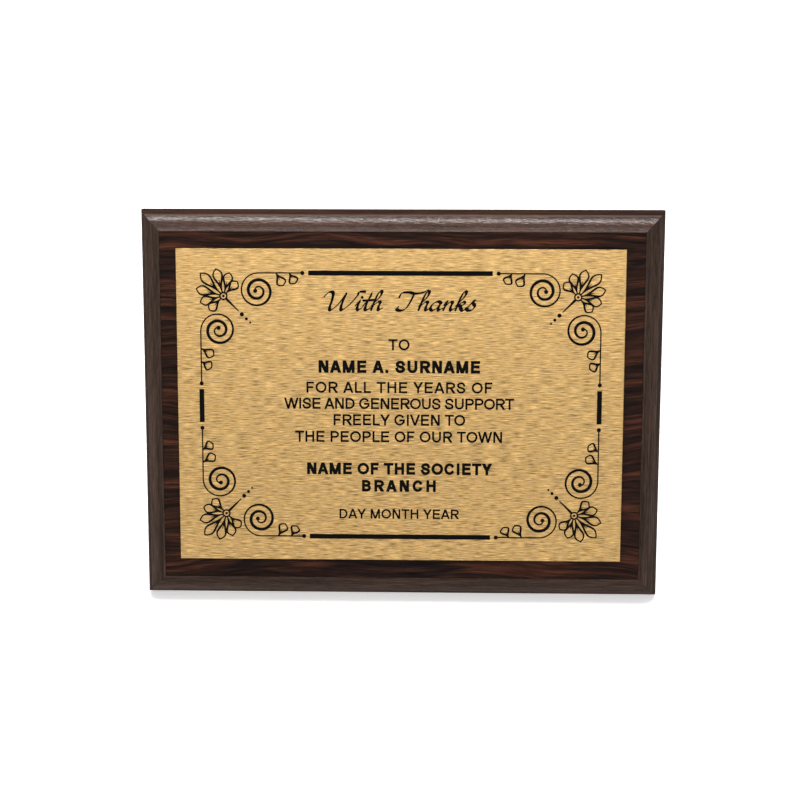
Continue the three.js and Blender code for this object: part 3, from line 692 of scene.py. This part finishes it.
class Pen:
    """Collects strokes, in millimetres, and turns them into one raised mesh."""

    def __init__(self):
        self.work = bmesh.new()
        self.strokes = 0

    def next_height(self):
        self.strokes += 1
        return INK_HEIGHT + (self.strokes % INK_LAYERS) * INK_STEP

    def edges(self, line, width, closed):
        """The two sides of a stroke. At a corner the sides meet in a mitre."""
        count = len(line)
        left, right = [], []
        for index, point in enumerate(line):
            arriving = point - line[index - 1] if index or closed else line[1] - point
            leaving = line[(index + 1) % count] - point if index + 1 < count or closed else arriving
            arriving, leaving = arriving.normalized(), leaving.normalized()
            along = arriving + leaving
            along = along.normalized() if along.length > 0.01 else arriving
            across = Vector((-along.y, along.x))
            mitre = max(SHARPEST_MITRE, across.dot(Vector((-arriving.y, arriving.x))))
            half = width(index / (count - 1), along) / 2 / mitre
            left.append(point + across * half)
            right.append(point - across * half)
        return left, right

    def stroke(self, line, width, closed=False, round_ends=True):
        line = [Vector(point[:2]) for point in line]
        left, right = self.edges(line, width, closed)
        if closed:
            self.band(left, right)
            return
        start, end = [], []
        if round_ends:
            start = self.round_end(line[0], left[0] - line[0])
            end = self.round_end(line[-1], right[-1] - line[-1])
        self.ribbon(left, right, start, end)

    def round_end(self, centre, side):
        """Points of a half circle, from one side of a stroke round to the other."""
        return [centre + Matrix.Rotation(math.pi * step / 6, 2) @ side for step in range(1, 6)]

    def ribbon(self, left, right, start, end):
        height = self.next_height()
        rim = [*right, *end, *left[::-1], *start]
        top = [self.work.verts.new((*point, height)) for point in rim]
        low = [self.work.verts.new((*point, 0)) for point in rim]
        count, total = len(left), len(rim)
        top_right = top[:count]
        top_left = top[count + len(end):2 * count + len(end)][::-1]
        for index in range(count - 1):
            self.work.faces.new((top_right[index], top_right[index + 1], top_left[index + 1],
                                 top_left[index]))
        if end:
            self.work.faces.new(top[count - 1:count + len(end) + 1])
        if start:
            self.work.faces.new([*top[2 * count + len(end) - 1:], top[0]])
        for index in range(total):
            after = (index + 1) % total
            self.work.faces.new((top[after], top[index], low[index], low[after]))

    def band(self, left, right):
        """A closed ribbon."""
        height = self.next_height()
        count = len(left)
        rows = [[self.work.verts.new((*point, z)) for point in side]
                for side, z in ((left, 0), (left, height), (right, height), (right, 0))]
        for outer, inner in zip(rows, rows[1:]):
            for index in range(count):
                after = (index + 1) % count
                self.work.faces.new((outer[index], outer[after], inner[after], inner[index]))

    def shape(self, outline):
        """A filled shape inside an outline."""
        height = self.next_height()
        top = [self.work.verts.new((point[0], point[1], height)) for point in outline]
        low = [self.work.verts.new((point[0], point[1], 0)) for point in outline]
        self.work.faces.new(top)
        for index in range(len(top)):
            after = (index + 1) % len(top)
            self.work.faces.new((top[index], low[index], low[after], top[after]))

    def ring(self, centre, radius, width):
        circle = arc_points(centre, (radius, radius), 0, 360, 32)[:-1]
        self.stroke(circle, even_width(width), closed=True)

    def dot(self, centre, radius):
        self.shape(arc_points(centre, (radius, radius), 0, 360, 24)[:-1])

    def print_on_plate(self, name, placing=Matrix.Identity(4)):
        """Ends the drawing: scales it to metres and lays it on the plate."""
        bmesh.ops.transform(self.work, matrix=Matrix.Scale(MM, 4), verts=self.work.verts)
        mesh = mesh_from(name, self.work, PRINT @ placing)
        if placing.determinant() < 0:
            mesh.flip_normals()
        return finish_mesh(name, mesh, black_ink, "plaque")


print("ink stands", INK_HEIGHT, "mm proud of the plate")

# %% [markdown]
# ## The four bars
#
# Straight bars lie on a rectangle 9 mm inside the plate's edge and fill the middle of each side. The
# corner scrolls end at them.

# %% Bars
FRAME_INSET = 9.2
BAR_WIDTH = 1.85
BAR_FROM_SIDE = 50.2
BAR_FROM_TOP = 53.6
plate_w = PLATE_WIDTH / MM
plate_h = PLATE_HEIGHT / MM
left, right = FRAME_INSET, plate_w - FRAME_INSET
top, bottom = -FRAME_INSET, FRAME_INSET - plate_h
bars = {
    "bar_top": ((BAR_FROM_SIDE, top), (plate_w - BAR_FROM_SIDE, top)),
    "bar_bottom": ((BAR_FROM_SIDE, bottom), (plate_w - BAR_FROM_SIDE, bottom)),
    "bar_left": ((left, -BAR_FROM_TOP), (left, BAR_FROM_TOP - plate_h)),
    "bar_right": ((right, -BAR_FROM_TOP), (right, BAR_FROM_TOP - plate_h)),
}
for name, (start, end) in bars.items():
    pen = Pen()
    across = Vector((end[1] - start[1], end[0] - start[0])).normalized() * BAR_WIDTH / 2
    start, end = Vector(start), Vector(end)
    pen.shape([start - across, end - across, end + across, start + across])
    pen.print_on_plate(name)
print("printed", len(bars), "bars")

# %% [markdown]
# ## The corner scrolls
#
# Each corner gets a plain classical ornament: a palmette, which is a fan of round petals, a spiral on
# either side of it, and two small leaves on each spiral's tail. All of it comes from two formulas, one
# for a petal and one for a spiral. Both sides of the diagonal are alike, so a spiral and its leaves are
# drawn once and the pen adds their twins. Distances are in millimetres, to the right of and below the
# plate's top left corner, and angles turn from right towards down.

# %% Petals and spirals
HAIR = 0.52
FAN_ROOT = (18.0, 18.0)
FAN = ((-90, 6.0), (-60, 7.5), (-30, 9.0), (0, 10.5), (30, 9.0), (60, 7.5), (90, 6.0))
FAN_GAP = 1.6
FAN_EYE = 1.3
TOWARDS_CORNER = 225
TOWARDS_MIDDLE = 45
PETAL_WIDTH = 3.4
PETAL_STEPS = 16
SPIRAL_CENTRE = (31.0, 16.0)
SPIRAL_OUTSIDE = 6.8
SPIRAL_INSIDE = 0.9
SPIRAL_TURNS = 2.25
SPIRAL_STEPS = 60
TAIL_LEAVES = (((38.0, FRAME_INSET), 60, 5.5), ((43.0, FRAME_INSET), 60, 4.5))
TAIL_END_ACROSS = 48.0
TAIL_END_DOWN = 51.4
DOT_RADIUS = 0.8
STEM_END = 8.0
STEM_DOTS = ((9.8, 0.8), (12.2, 0.6), (14.2, 0.4))


def away_from(point, angle, distance):
    turn = math.radians(angle)
    return point[0] + distance * math.cos(turn), point[1] + distance * math.sin(turn)


def petal_side(root, angle, length, width):
    """One side of a petal, narrow at its root and round at its tip."""
    side = []
    for step in range(PETAL_STEPS + 1):
        share = step / PETAL_STEPS
        bulge = width / 2 * math.sin(math.pi * share ** 2.2)
        side.append(away_from(away_from(root, angle, length * share), angle + 90, bulge))
    return side


def spiral(centre, outside, inside, turns):
    """Starts at the top, winds to the left and closes in evenly."""
    line = []
    for step in range(SPIRAL_STEPS + 1):
        radius = outside + (inside - outside) * step / SPIRAL_STEPS
        line.append(away_from(centre, 270 - 360 * turns * step / SPIRAL_STEPS, radius))
    return line


def draw(pen, line, width):
    pen.stroke([Vector((x, -y)) for x, y in line], width)


def both_sides(pen, line, width):
    """Draws a stroke and its twin across the diagonal."""
    draw(pen, line, width)
    draw(pen, [(y, x) for x, y in line], width)


def draw_petal(pen, root, angle, length, twin=False):
    add = both_sides if twin else draw
    add(pen, petal_side(root, angle, length, PETAL_WIDTH), swelling(HAIR, 0.8))
    add(pen, petal_side(root, angle, length, -PETAL_WIDTH), swelling(HAIR, 0.8))
    add(pen, [root, away_from(root, angle, length * 0.5)], tapering(0.6, 0.3))


def draw_fan(pen):
    for turn, length in FAN:
        angle = TOWARDS_CORNER + turn
        draw_petal(pen, away_from(FAN_ROOT, angle, FAN_GAP), angle, length)
    pen.ring((FAN_ROOT[0], -FAN_ROOT[1]), FAN_EYE, 0.6)
    pen.dot((FAN_ROOT[0], -FAN_ROOT[1]), 0.5)


def draw_spiral(pen):
    """The spiral, and its tail that ends in a dot in front of each bar."""
    coil = spiral(SPIRAL_CENTRE, SPIRAL_OUTSIDE, SPIRAL_INSIDE, SPIRAL_TURNS)
    both_sides(pen, coil, swelling(HAIR, 1.2, 0.5, 0.5))
    for reach, swap in ((TAIL_END_ACROSS, False), (TAIL_END_DOWN, True)):
        tail = [coil[0], (reach, FRAME_INSET)]
        draw(pen, [(y, x) for x, y in tail] if swap else tail, even_width(HAIR))
        end = (FRAME_INSET, -reach) if swap else (reach, -FRAME_INSET)
        pen.dot(end, DOT_RADIUS)
    for x, y in (coil[-1], (coil[-1][1], coil[-1][0])):
        pen.dot((x, -y), DOT_RADIUS)
    for root, angle, length in TAIL_LEAVES:
        draw_petal(pen, root, angle, length, twin=True)


def draw_stem(pen):
    """A straight stem from the palmette towards the middle of the plate, with dots of falling size."""
    stem_ends = [away_from(FAN_ROOT, TOWARDS_MIDDLE, distance) for distance in (FAN_GAP, STEM_END)]
    draw(pen, stem_ends, tapering(1.0, 0.4))
    for distance, radius in STEM_DOTS:
        x, y = away_from(FAN_ROOT, TOWARDS_MIDDLE, distance)
        pen.dot((x, -y), radius)


mirror_sideways = Matrix.Translation((PLATE_WIDTH, 0, 0)) @ Matrix.Scale(-1, 4, (1, 0, 0))
mirror_downwards = Matrix.Translation((0, -PLATE_HEIGHT, 0)) @ Matrix.Scale(-1, 4, (0, 1, 0))
half_round = Matrix.Translation((PLATE_WIDTH, -PLATE_HEIGHT, 0)) @ Matrix.Rotation(math.pi, 4, "Z")
corner_places = {
    "scroll_top_left": Matrix.Identity(4),
    "scroll_top_right": mirror_sideways,
    "scroll_bottom_left": mirror_downwards,
    "scroll_bottom_right": half_round,
}
for name, placing in corner_places.items():
    pen = Pen()
    draw_fan(pen)
    draw_spiral(pen)
    draw_stem(pen)
    printed = pen.print_on_plate(name, placing)
    print(name, pen.strokes, "strokes,", len(printed.data.polygons), "faces")

# %% [markdown]
# ## The heading
#
# The heading is written in a round hand with a broad nib. A broad nib held at a fixed angle draws thick
# where it moves across its edge and thin where it moves along it, so the width of a stroke follows from
# its direction. Each letter is one to three strokes through a few points, in units of a small letter's
# height, and the whole word slopes.

# %% Heading
NIB_ANGLE = math.radians(38)
NIB_WIDTH = 1.6
NIB_THIN = 0.36
LETTER_HEIGHT = 3.3
LETTER_WIDTH = 4.68
SLOPE = 0.4

LETTERS = {
    "W": (2.45, [[(-0.35, 1.5), (-0.1, 2.0), (0.25, 1.95), (0.4, 1.2), (0.45, 0.25), (0.65, 0.0), (1.05, 0.7),
                  (1.35, 1.9)],
                 [(1.35, 1.9), (1.32, 0.6), (1.5, 0.0), (1.95, 0.6), (2.3, 1.6), (2.35, 2.05), (2.8, 2.1)]]),
    "T": (1.75, [[(-0.1, 1.45), (0.0, 1.95), (0.5, 2.05), (1.1, 1.9), (1.7, 2.05), (2.0, 2.35)],
                 [(1.0, 1.92), (0.95, 1.0), (0.8, 0.2), (0.45, -0.05), (0.1, 0.1), (0.15, 0.4)]]),
    "i": (0.62, [[(0.0, 0.45), (0.2, 0.95), (0.22, 0.3), (0.38, 0.02), (0.62, 0.25)]]),
    "t": (0.68, [[(0.0, 0.45), (0.28, 1.3), (0.32, 1.7), (0.24, 0.7), (0.28, 0.15), (0.45, 0.02),
                  (0.68, 0.25)],
                 [(-0.12, 1.08), (0.2, 1.1), (0.72, 1.16)]]),
    "h": (0.98, [[(0.0, 0.45), (0.4, 1.5), (0.42, 2.05), (0.24, 2.1), (0.14, 1.5), (0.12, 0.0)],
                 [(0.14, 0.45), (0.42, 0.92), (0.62, 0.85), (0.62, 0.35), (0.74, 0.02), (0.98, 0.25)]]),
    "a": (1.02, [[(0.7, 0.88), (0.4, 1.0), (0.1, 0.7), (0.06, 0.22), (0.28, 0.0), (0.58, 0.3), (0.72, 0.95)],
                 [(0.72, 0.95), (0.68, 0.25), (0.8, 0.02), (1.02, 0.25)]]),
    "n": (0.98, [[(0.0, 0.6), (0.14, 0.95), (0.14, 0.5), (0.12, 0.0)],
                 [(0.14, 0.45), (0.42, 0.92), (0.62, 0.85), (0.62, 0.35), (0.74, 0.02), (0.98, 0.25)]]),
    "k": (0.98, [[(0.0, 0.45), (0.4, 1.5), (0.42, 2.05), (0.24, 2.1), (0.14, 1.5), (0.12, 0.0)],
                 [(0.14, 0.5), (0.45, 0.95), (0.64, 0.8), (0.48, 0.52), (0.2, 0.46)],
                 [(0.36, 0.5), (0.54, 0.15), (0.72, 0.0), (0.98, 0.25)]]),
    "s": (0.85, [[(0.0, 0.25), (0.32, 1.1), (0.36, 0.85), (0.56, 0.45), (0.46, 0.06), (0.18, 0.0),
                  (0.02, 0.16)]]),
}


def broad_nib(share, direction):
    across = abs(math.sin(math.atan2(direction.y, direction.x) - NIB_ANGLE))
    return NIB_THIN + (NIB_WIDTH - NIB_THIN) * across ** 1.5


def written(text, space=1.1):
    """The strokes of a word in a round hand, and its length."""
    strokes, dots, x = [], [], 0.0
    for letter in text:
        if letter == " ":
            x += space
            continue
        advance, shapes = LETTERS[letter]
        strokes += [[(x + px, py) for px, py in shape] for shape in shapes]
        if letter == "i":
            dots.append((x + 0.3, 1.45))
        x += advance
    return strokes, dots, x


def write_heading(text, centre, drop):
    strokes, dots, length = written(text)

    def place(point):
        x = centre + (point[0] - length / 2) * LETTER_WIDTH + SLOPE * point[1] * LETTER_HEIGHT
        return (x, drop + point[1] * LETTER_HEIGHT)

    pen = Pen()
    for shape in strokes:
        pen.stroke([place(point) for point in smooth_line(shape, steps=8)], broad_nib)
    for spot in dots:
        pen.dot(place(spot), 0.55)
    pen.print_on_plate("heading")
    return length * LETTER_WIDTH


heading_length = write_heading("With Thanks", plate_w / 2 - 0.2, -23.1)
print("the heading is about", round(heading_length, 1), "mm long")

# %% [markdown]
# ## The letters
#
# The rest of the wording is set in a plain sans serif. Its capitals are built from a few kinds of
# strokes: straight stems, round bowls, and slanted bars that are cut level at the top and the foot. One
# set of letter shapes serves for both weights, because the weight is only the width of the pen. In a
# letter's own units its capital height is 1, and across, 0 is its left edge and 1 its right edge.

# %% Letter shapes
REGULAR = 0.178
BOLD = 0.242
WORD_SPACE = 0.39


def oval(start, end, steps=28):
    return arc_points((0.5, 0.5), (0.5, 0.5), start, end, steps)


def bowl(bottom, top, right=1.0, straight=0.5):
    """A bowl that starts and ends on the stem."""
    middle, half = (bottom + top) / 2, (top - bottom) / 2
    return [(0, top)] + arc_points((straight, middle), (right - straight, half), 90, -90, 16) + [(0, bottom)]


s_curve = smooth_line([(0.95, 0.76), (0.8, 0.94), (0.5, 1.0), (0.17, 0.92), (0.05, 0.74), (0.2, 0.58),
                       (0.5, 0.5),
                       (0.82, 0.41), (0.97, 0.24), (0.84, 0.07), (0.5, 0.0), (0.16, 0.06),
                           (0.0, 0.27)], steps=5)
u_curve = [(0, 1)] + arc_points((0.5, 0.36), (0.5, 0.36), 180, 360, 16) + [(1, 1)]
stem = [(0, 0), (0, 1)]

# letter: width of the drawing, space on its left, space on its right, strokes, slanted bars
CAPITALS = {
    "A": (0.93, 0.0, 0.0, [[(0.22, 0.27), (0.78, 0.27)]], [((0, 0), (0.5, 1)), ((0.5, 1), (1, 0))]),
    "B": (0.75, 0.11, 0.07, [stem, bowl(0.54, 1, 0.93), bowl(0, 0.54)], []),
    "C": (0.88, 0.07, 0.06, [oval(42, 318)], []),
    "D": (0.82, 0.11, 0.08, [stem, bowl(0, 1, 1, 0.35)], []),
    "E": (0.73, 0.11, 0.09, [[(1, 1), (0, 1), (0, 0), (1, 0)], [(0, 0.53), (0.9, 0.53)]], []),
    "F": (0.67, 0.11, 0.07, [[(1, 1), (0, 1), (0, 0)], [(0, 0.5), (0.85, 0.5)]], []),
    "G": (0.94, 0.07, 0.09, [oval(42, 322) + [(1, 0.26), (1, 0.47), (0.58, 0.47)]], []),
    "H": (0.79, 0.11, 0.11, [stem, [(1, 0), (1, 1)], [(0, 0.54), (1, 0.54)]], []),
    "I": (0.0, 0.13, 0.13, [stem], []),
    "L": (0.63, 0.1, 0.05, [[(0, 1), (0, 0), (1, 0)]], []),
    "M": (0.95, 0.11, 0.11, [stem, [(1, 0), (1, 1)]], [((0, 1), (0.5, 0)), ((0.5, 0), (1, 1))]),
    "N": (0.79, 0.11, 0.11, [stem, [(1, 0), (1, 1)]], [((0, 1), (1, 0))]),
    "O": (0.98, 0.05, 0.05, [oval(0, 360)], []),
    "P": (0.76, 0.11, 0.06, [stem, bowl(0.45, 1)], []),
    "R": (0.86, 0.11, 0.0, [stem, bowl(0.48, 1, 0.92)], [((0.45, 0.5), (1, 0))]),
    "S": (0.79, 0.06, 0.07, [s_curve], []),
    "T": (0.8, 0.03, 0.03, [[(0, 1), (1, 1)], [(0.5, 0), (0.5, 1)]], []),
    "U": (0.79, 0.11, 0.11, [u_curve], []),
    "V": (0.92, 0.0, 0.0, [], [((0, 1), (0.5, 0)), ((0.5, 0), (1, 1))]),
    "W": (1.3, 0.0, 0.0, [], [((0, 1), (0.26, 0)), ((0.26, 0), (0.5, 1)), ((0.5, 1), (0.74, 0)),
                              ((0.74, 0), (1, 1))]),
    "Y": (0.9, 0.0, 0.0, [[(0.5, 0), (0.5, 0.42)]], [((0, 1), (0.5, 0.4)), ((0.5, 0.4), (1, 1))]),
    ".": (0.0, 0.13, 0.13, [[(0, 0), (0, 0.02)]], []),
}
print("there are", len(CAPITALS), "letter shapes")

# %% [markdown]
# ## The lines of print
#
# The wording says nothing in particular. It stands where a name, a reason and a date are printed on such
# a plate. Each line is set to its own length by opening or closing the spaces between its letters.

# %% Lines of print
LINE_CENTRE = 84.6
SAME_POINT = 1e-6


def print_letter(pen, letter, x, drop, height, weight):
    """Draws one capital and returns how far it moves the pen on."""
    width, before, after, strokes, slants = CAPITALS[letter]
    width = max(width, weight)
    half = weight / 2
    x += before * height

    def at(u, v):
        return Vector((x + (half + u * (width - weight)) * height,
                       -drop + (half + v * (1 - weight)) * height))

    for points in strokes:
        line = [at(*point) for point in points]
        closed = math.dist(points[0], points[-1]) < SAME_POINT
        if closed:
            line.pop()
        else:
            line[0] += (line[0] - line[1]).normalized() * half * height
            line[-1] += (line[-1] - line[-2]).normalized() * half * height
        pen.stroke(line, even_width(weight * height), closed, round_ends=False)
    for (u0, v0), (u1, v1) in slants:
        lean = abs(u1 - u0) * width / abs(v1 - v0)
        level = weight * math.sqrt(1 + lean * lean)
        ends = []
        for u, v in ((u0, v0), (u1, v1)):
            centre = x + (level / 2 + u * (width - level)) * height
            ends.append((centre - level / 2 * height, centre + level / 2 * height, -drop + v * height))
        (a, b, low), (c, d, high) = sorted(ends, key=lambda end: end[2])
        pen.shape([(a, low), (b, low), (d, high), (c, high)])
    return (before + width + after) * height


def set_line(name, words, length, height, drop, weight):
    """Prints one centred line of a given length and capital height."""
    def natural(letter):
        if letter == " ":
            return WORD_SPACE
        width, before, after = CAPITALS[letter][:3]
        return before + max(width, weight) + after

    spare = length / height - sum(natural(letter) for letter in words)
    gap = spare / (len(words) - 1) * height
    x = LINE_CENTRE - length / 2
    pen = Pen()
    for letter in words:
        if letter == " ":
            x += WORD_SPACE * height
        else:
            x += print_letter(pen, letter, x, drop, height, weight)
        x += gap
    pen.print_on_plate(name)
    print(name, "is", length, "mm long, with", round(gap, 2), "mm between letters")


# name, words, length, height of a capital, drop of the line's foot below the plate's top edge, weight
lines_of_print = (
    ("line_to", "TO", 8.4, 4.3, 38.4, REGULAR),
    ("line_name", "NAME A. SURNAME", 62.4, 4.8, 47.1, BOLD),
    ("line_reason_1", "FOR ALL THE YEARS OF", 71.6, 4.3, 54.8, REGULAR),
    ("line_reason_2", "WISE AND GENEROUS SUPPORT", 87.9, 4.3, 61.0, REGULAR),
    ("line_reason_3", "FREELY GIVEN TO", 51.0, 4.3, 67.3, REGULAR),
    ("line_reason_4", "THE PEOPLE OF OUR TOWN", 79.8, 4.3, 73.8, REGULAR),
    ("line_from_1", "NAME OF THE SOCIETY", 71.6, 4.6, 86.4, BOLD),
    ("line_from_2", "BRANCH", 29.4, 4.6, 93.1, BOLD),
    ("line_date", "DAY MONTH YEAR", 46.6, 3.8, 103.7, REGULAR),
)
for line in lines_of_print:
    set_line(*line)

# %% [markdown]
# ## Boards, tape and small metal
#
# What is left are plain stock finishes: raw fibreboard, hardboard painted black, bright zinc, brass
# plating, tape and felt. Each one still has its own grain and its own gloss.

# %% Stock finishes


def make_speckled(name, cycles, dark, light, detail, grain=0.5, distortion=0.0, relief=None, **values):
    """A matt finish with one even speckle. The relief is its strength and its depth."""
    material, tree, shader = start_material(name, **values)
    specks = noise(tree, scaled_coordinates(tree, (cycles, cycles, cycles)), detail, grain, distortion)
    colour = ramp(tree, specks, (0.3, linear(*dark)), (0.7, linear(*light)))
    tree.links.new(colour, shader.inputs["Base Color"])
    if relief:
        add_bump(tree, shader, specks, *relief)
    return material


def make_black_hardboard():
    material, tree, shader = start_material("black_hardboard", Roughness=0.62, IOR=1.45)
    cloudy = noise(tree, scaled_coordinates(tree, (45, 45, 45)), detail=3)
    mottled = noise(tree, scaled_coordinates(tree, (900, 900, 900)), detail=4, roughness=0.75)
    colour = ramp(tree, mottled, (0.34, linear(17, 15, 14)), (0.66, linear(46, 42, 38)))
    colour = blend_colours(tree, "MULTIPLY", 1.0, colour, ramp(tree, cloudy, (0.3, 0.7), (0.7, 1.1)))
    tree.links.new(colour, shader.inputs["Base Color"])
    tree.links.new(number_range(tree, mottled, 0.5, 0.75), shader.inputs["Roughness"])
    add_bump(tree, shader, mottled, 0.8, 0.12 * MM)
    return material


def make_metal(name, dark, bright, low_gloss, high_gloss):
    material, tree, shader = start_material(name, Metallic=1.0)
    smudges = noise(tree, scaled_coordinates(tree, (260, 260, 260)), detail=4, roughness=0.6)
    scratches = noise(tree, scaled_coordinates(tree, (300, 5000, 5000)), detail=2)
    colour = ramp(tree, smudges, (0.3, dark), (0.7, bright))
    tree.links.new(colour, shader.inputs["Base Color"])
    tree.links.new(number_range(tree, smudges, low_gloss, high_gloss, 0.3, 0.7), shader.inputs["Roughness"])
    add_bump(tree, shader, scratches, 0.15, 0.02 * MM)
    return material


fibreboard = make_speckled("raw_fibreboard", 1800, (132, 102, 70), (176, 143, 104), 4, 0.7,
                           relief=(0.4, 0.1 * MM), Roughness=0.9)
tape = make_speckled("foam_tape", 2500, (214, 210, 198), (236, 233, 224), 2, Roughness=0.75)
felt = make_speckled("brown_felt", 4200, (34, 22, 17), (72, 50, 40), 5, 0.75, 0.8, relief=(0.9, 0.2 * MM),
                     Roughness=0.95, Sheen_Weight=0.5, Sheen_Roughness=0.5)
black_hardboard = make_black_hardboard()
zinc = make_metal("bright_zinc", linear(176, 178, 180), linear(208, 210, 212), 0.24, 0.42)
brass = make_metal("brass_plating", linear(190, 150, 78), linear(222, 184, 106), 0.2, 0.36)
print("six stock finishes are ready")

# %% [markdown]
# ## Flat pieces keep their CAD shape
#
# Boards, tapes, wedges and pressed sheet metal already have the right shape. They only get their finish
# and a small rounding where the tool that cut them would leave one.

# %% Dress the flat pieces
# finish, slot, rounding, pieces
stock_pieces = (
    (fibreboard, "fibreboard", 0.0, ["core_board"]),
    (black_hardboard, "black_hardboard", 0.15 * MM, ["backing_board"]),
    (tape, "tape", 0.0, ["tape_lower", "tape_middle", "tape_upper"]),
    (zinc, "steel", 0.05 * MM, [f"corner_wedge_{corner}" for corner in CORNERS]),
    (zinc, "steel", 0.12 * MM, ["hinge_leaf_fixed", "hinge_leaf_strut", "hinge_pin"]),
    (zinc, "steel", 0.08 * MM, ["hinge_screw_left", "hinge_screw_right", "hanger_screw"]),
    (zinc, "steel", 0.0, ["strut_rivet_1", "strut_rivet_2"]),
    (brass, "brass_plating", 0.12 * MM, ["hanger_strap"]),
    (brass, "brass_plating", 0.0, ["hanger_ring"] + [f"backing_nail_{number}" for number in range(1, 7)]),
    (felt, "felt", 0.0, [f"felt_dot_{corner}" for corner in CORNERS]),
)
for material, slot, rounding, names in stock_pieces:
    for name in names:
        dress(name, material, rounding)
dress("strut_board", black_hardboard, 0.35 * MM, segments=3)
print("dressed the CAD pieces that stay")

# %% [markdown]
# ## Floor and light
#
# A plain pale floor and soft light, as in a small tent of white cloth. A long narrow lamp overhead gives
# the top moulding its highlight, a wide one in front lights the face, and one behind lights the far part
# of the floor. The world is a soft grey, so dark wood keeps its depth while the metal has something to
# mirror. The floor glows a little by itself, and the camera alone sees a white backdrop in place of the
# grey: both are tricks that keep the surroundings pale.

# %% Floor and light
FLOOR_HALF = 8.0
FLOOR_GLOW = 0.5
BACKDROP = (0.94, 0.94, 0.94, 1.0)


def make_floor():
    material, tree, shader = start_material("pale_floor", Roughness=0.9, Specular_IOR_Level=0.1)
    shader.inputs["Base Color"].default_value = linear(246, 246, 246)
    shader.inputs["Emission Color"].default_value = linear(255, 255, 255)
    shader.inputs["Emission Strength"].default_value = FLOOR_GLOW
    mesh = bpy.data.meshes.new("floor")
    corners_xy = ((-1, -1), (1, -1), (1, 1), (-1, 1))
    mesh.from_pydata([(x * FLOOR_HALF, y * FLOOR_HALF, 0) for x, y in corners_xy], [], [(0, 1, 2, 3)])
    mesh.materials.append(material)
    floor = bpy.data.objects.new("floor", mesh)
    bpy.context.scene.collection.objects.link(floor)
    floor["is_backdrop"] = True


def add_lamp(name, position, aim, width, height, radiance):
    """A rectangular softbox. Its brightness is given per area, as it looks in a mirror."""
    data = bpy.data.lights.new(name, "AREA")
    data.shape = "RECTANGLE"
    data.size = width
    data.size_y = height
    data.energy = radiance * math.pi * width * height
    lamp = bpy.data.objects.new(name, data)
    lamp.location = position
    lamp.rotation_euler = (Vector(aim) - Vector(position)).to_track_quat("-Z", "Y").to_euler()
    bpy.context.scene.collection.objects.link(lamp)


def make_sky():
    world = bpy.data.worlds.new("soft_surroundings")
    bpy.context.scene.world = world
    world.use_nodes = True
    tree = world.node_tree
    background = tree.nodes["Background"]
    coordinates = add_node(tree, "ShaderNodeTexCoord")
    split = add_node(tree, "ShaderNodeSeparateXYZ")
    tree.links.new(coordinates.outputs["Generated"], split.inputs["Vector"])
    sky = ramp(tree, split.outputs["Z"], (0.0, 0.42), (0.07, 0.36), (0.4, 0.4), (1.0, 0.55))
    rays = add_node(tree, "ShaderNodeLightPath")
    seen = blend_colours(tree, "MIX", rays.outputs["Is Camera Ray"], sky, BACKDROP)
    tree.links.new(seen, background.inputs["Color"])
    background.inputs["Strength"].default_value = 1.0


make_floor()
make_sky()
add_lamp("lamp_overhead", (-0.05, -0.1, 1.25), (0, 0, 0.1), width=1.3, height=0.1, radiance=32)
add_lamp("lamp_front", (-0.4, -1.9, 0.72), (-0.1, 0, 0.08), width=3.2, height=0.42, radiance=3.6)
add_lamp("lamp_behind", (0, 3.2, 2.2), (0, 2.6, 0), width=3.0, height=1.6, radiance=4)
bpy.context.scene.view_settings.view_transform = "Standard"

# %% [markdown]
# ## Sizes, and the end
#
# The sizes of the CAD model's box and of the finished model's box are both printed.

# %% Write the sizes and finish
visual_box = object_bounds()
for label, (low, high) in (("CAD", cad_box), ("visual", visual_box)):
    print(label, "box in mm:", [round((b - a) / MM, 2) for a, b in zip(low, high)])
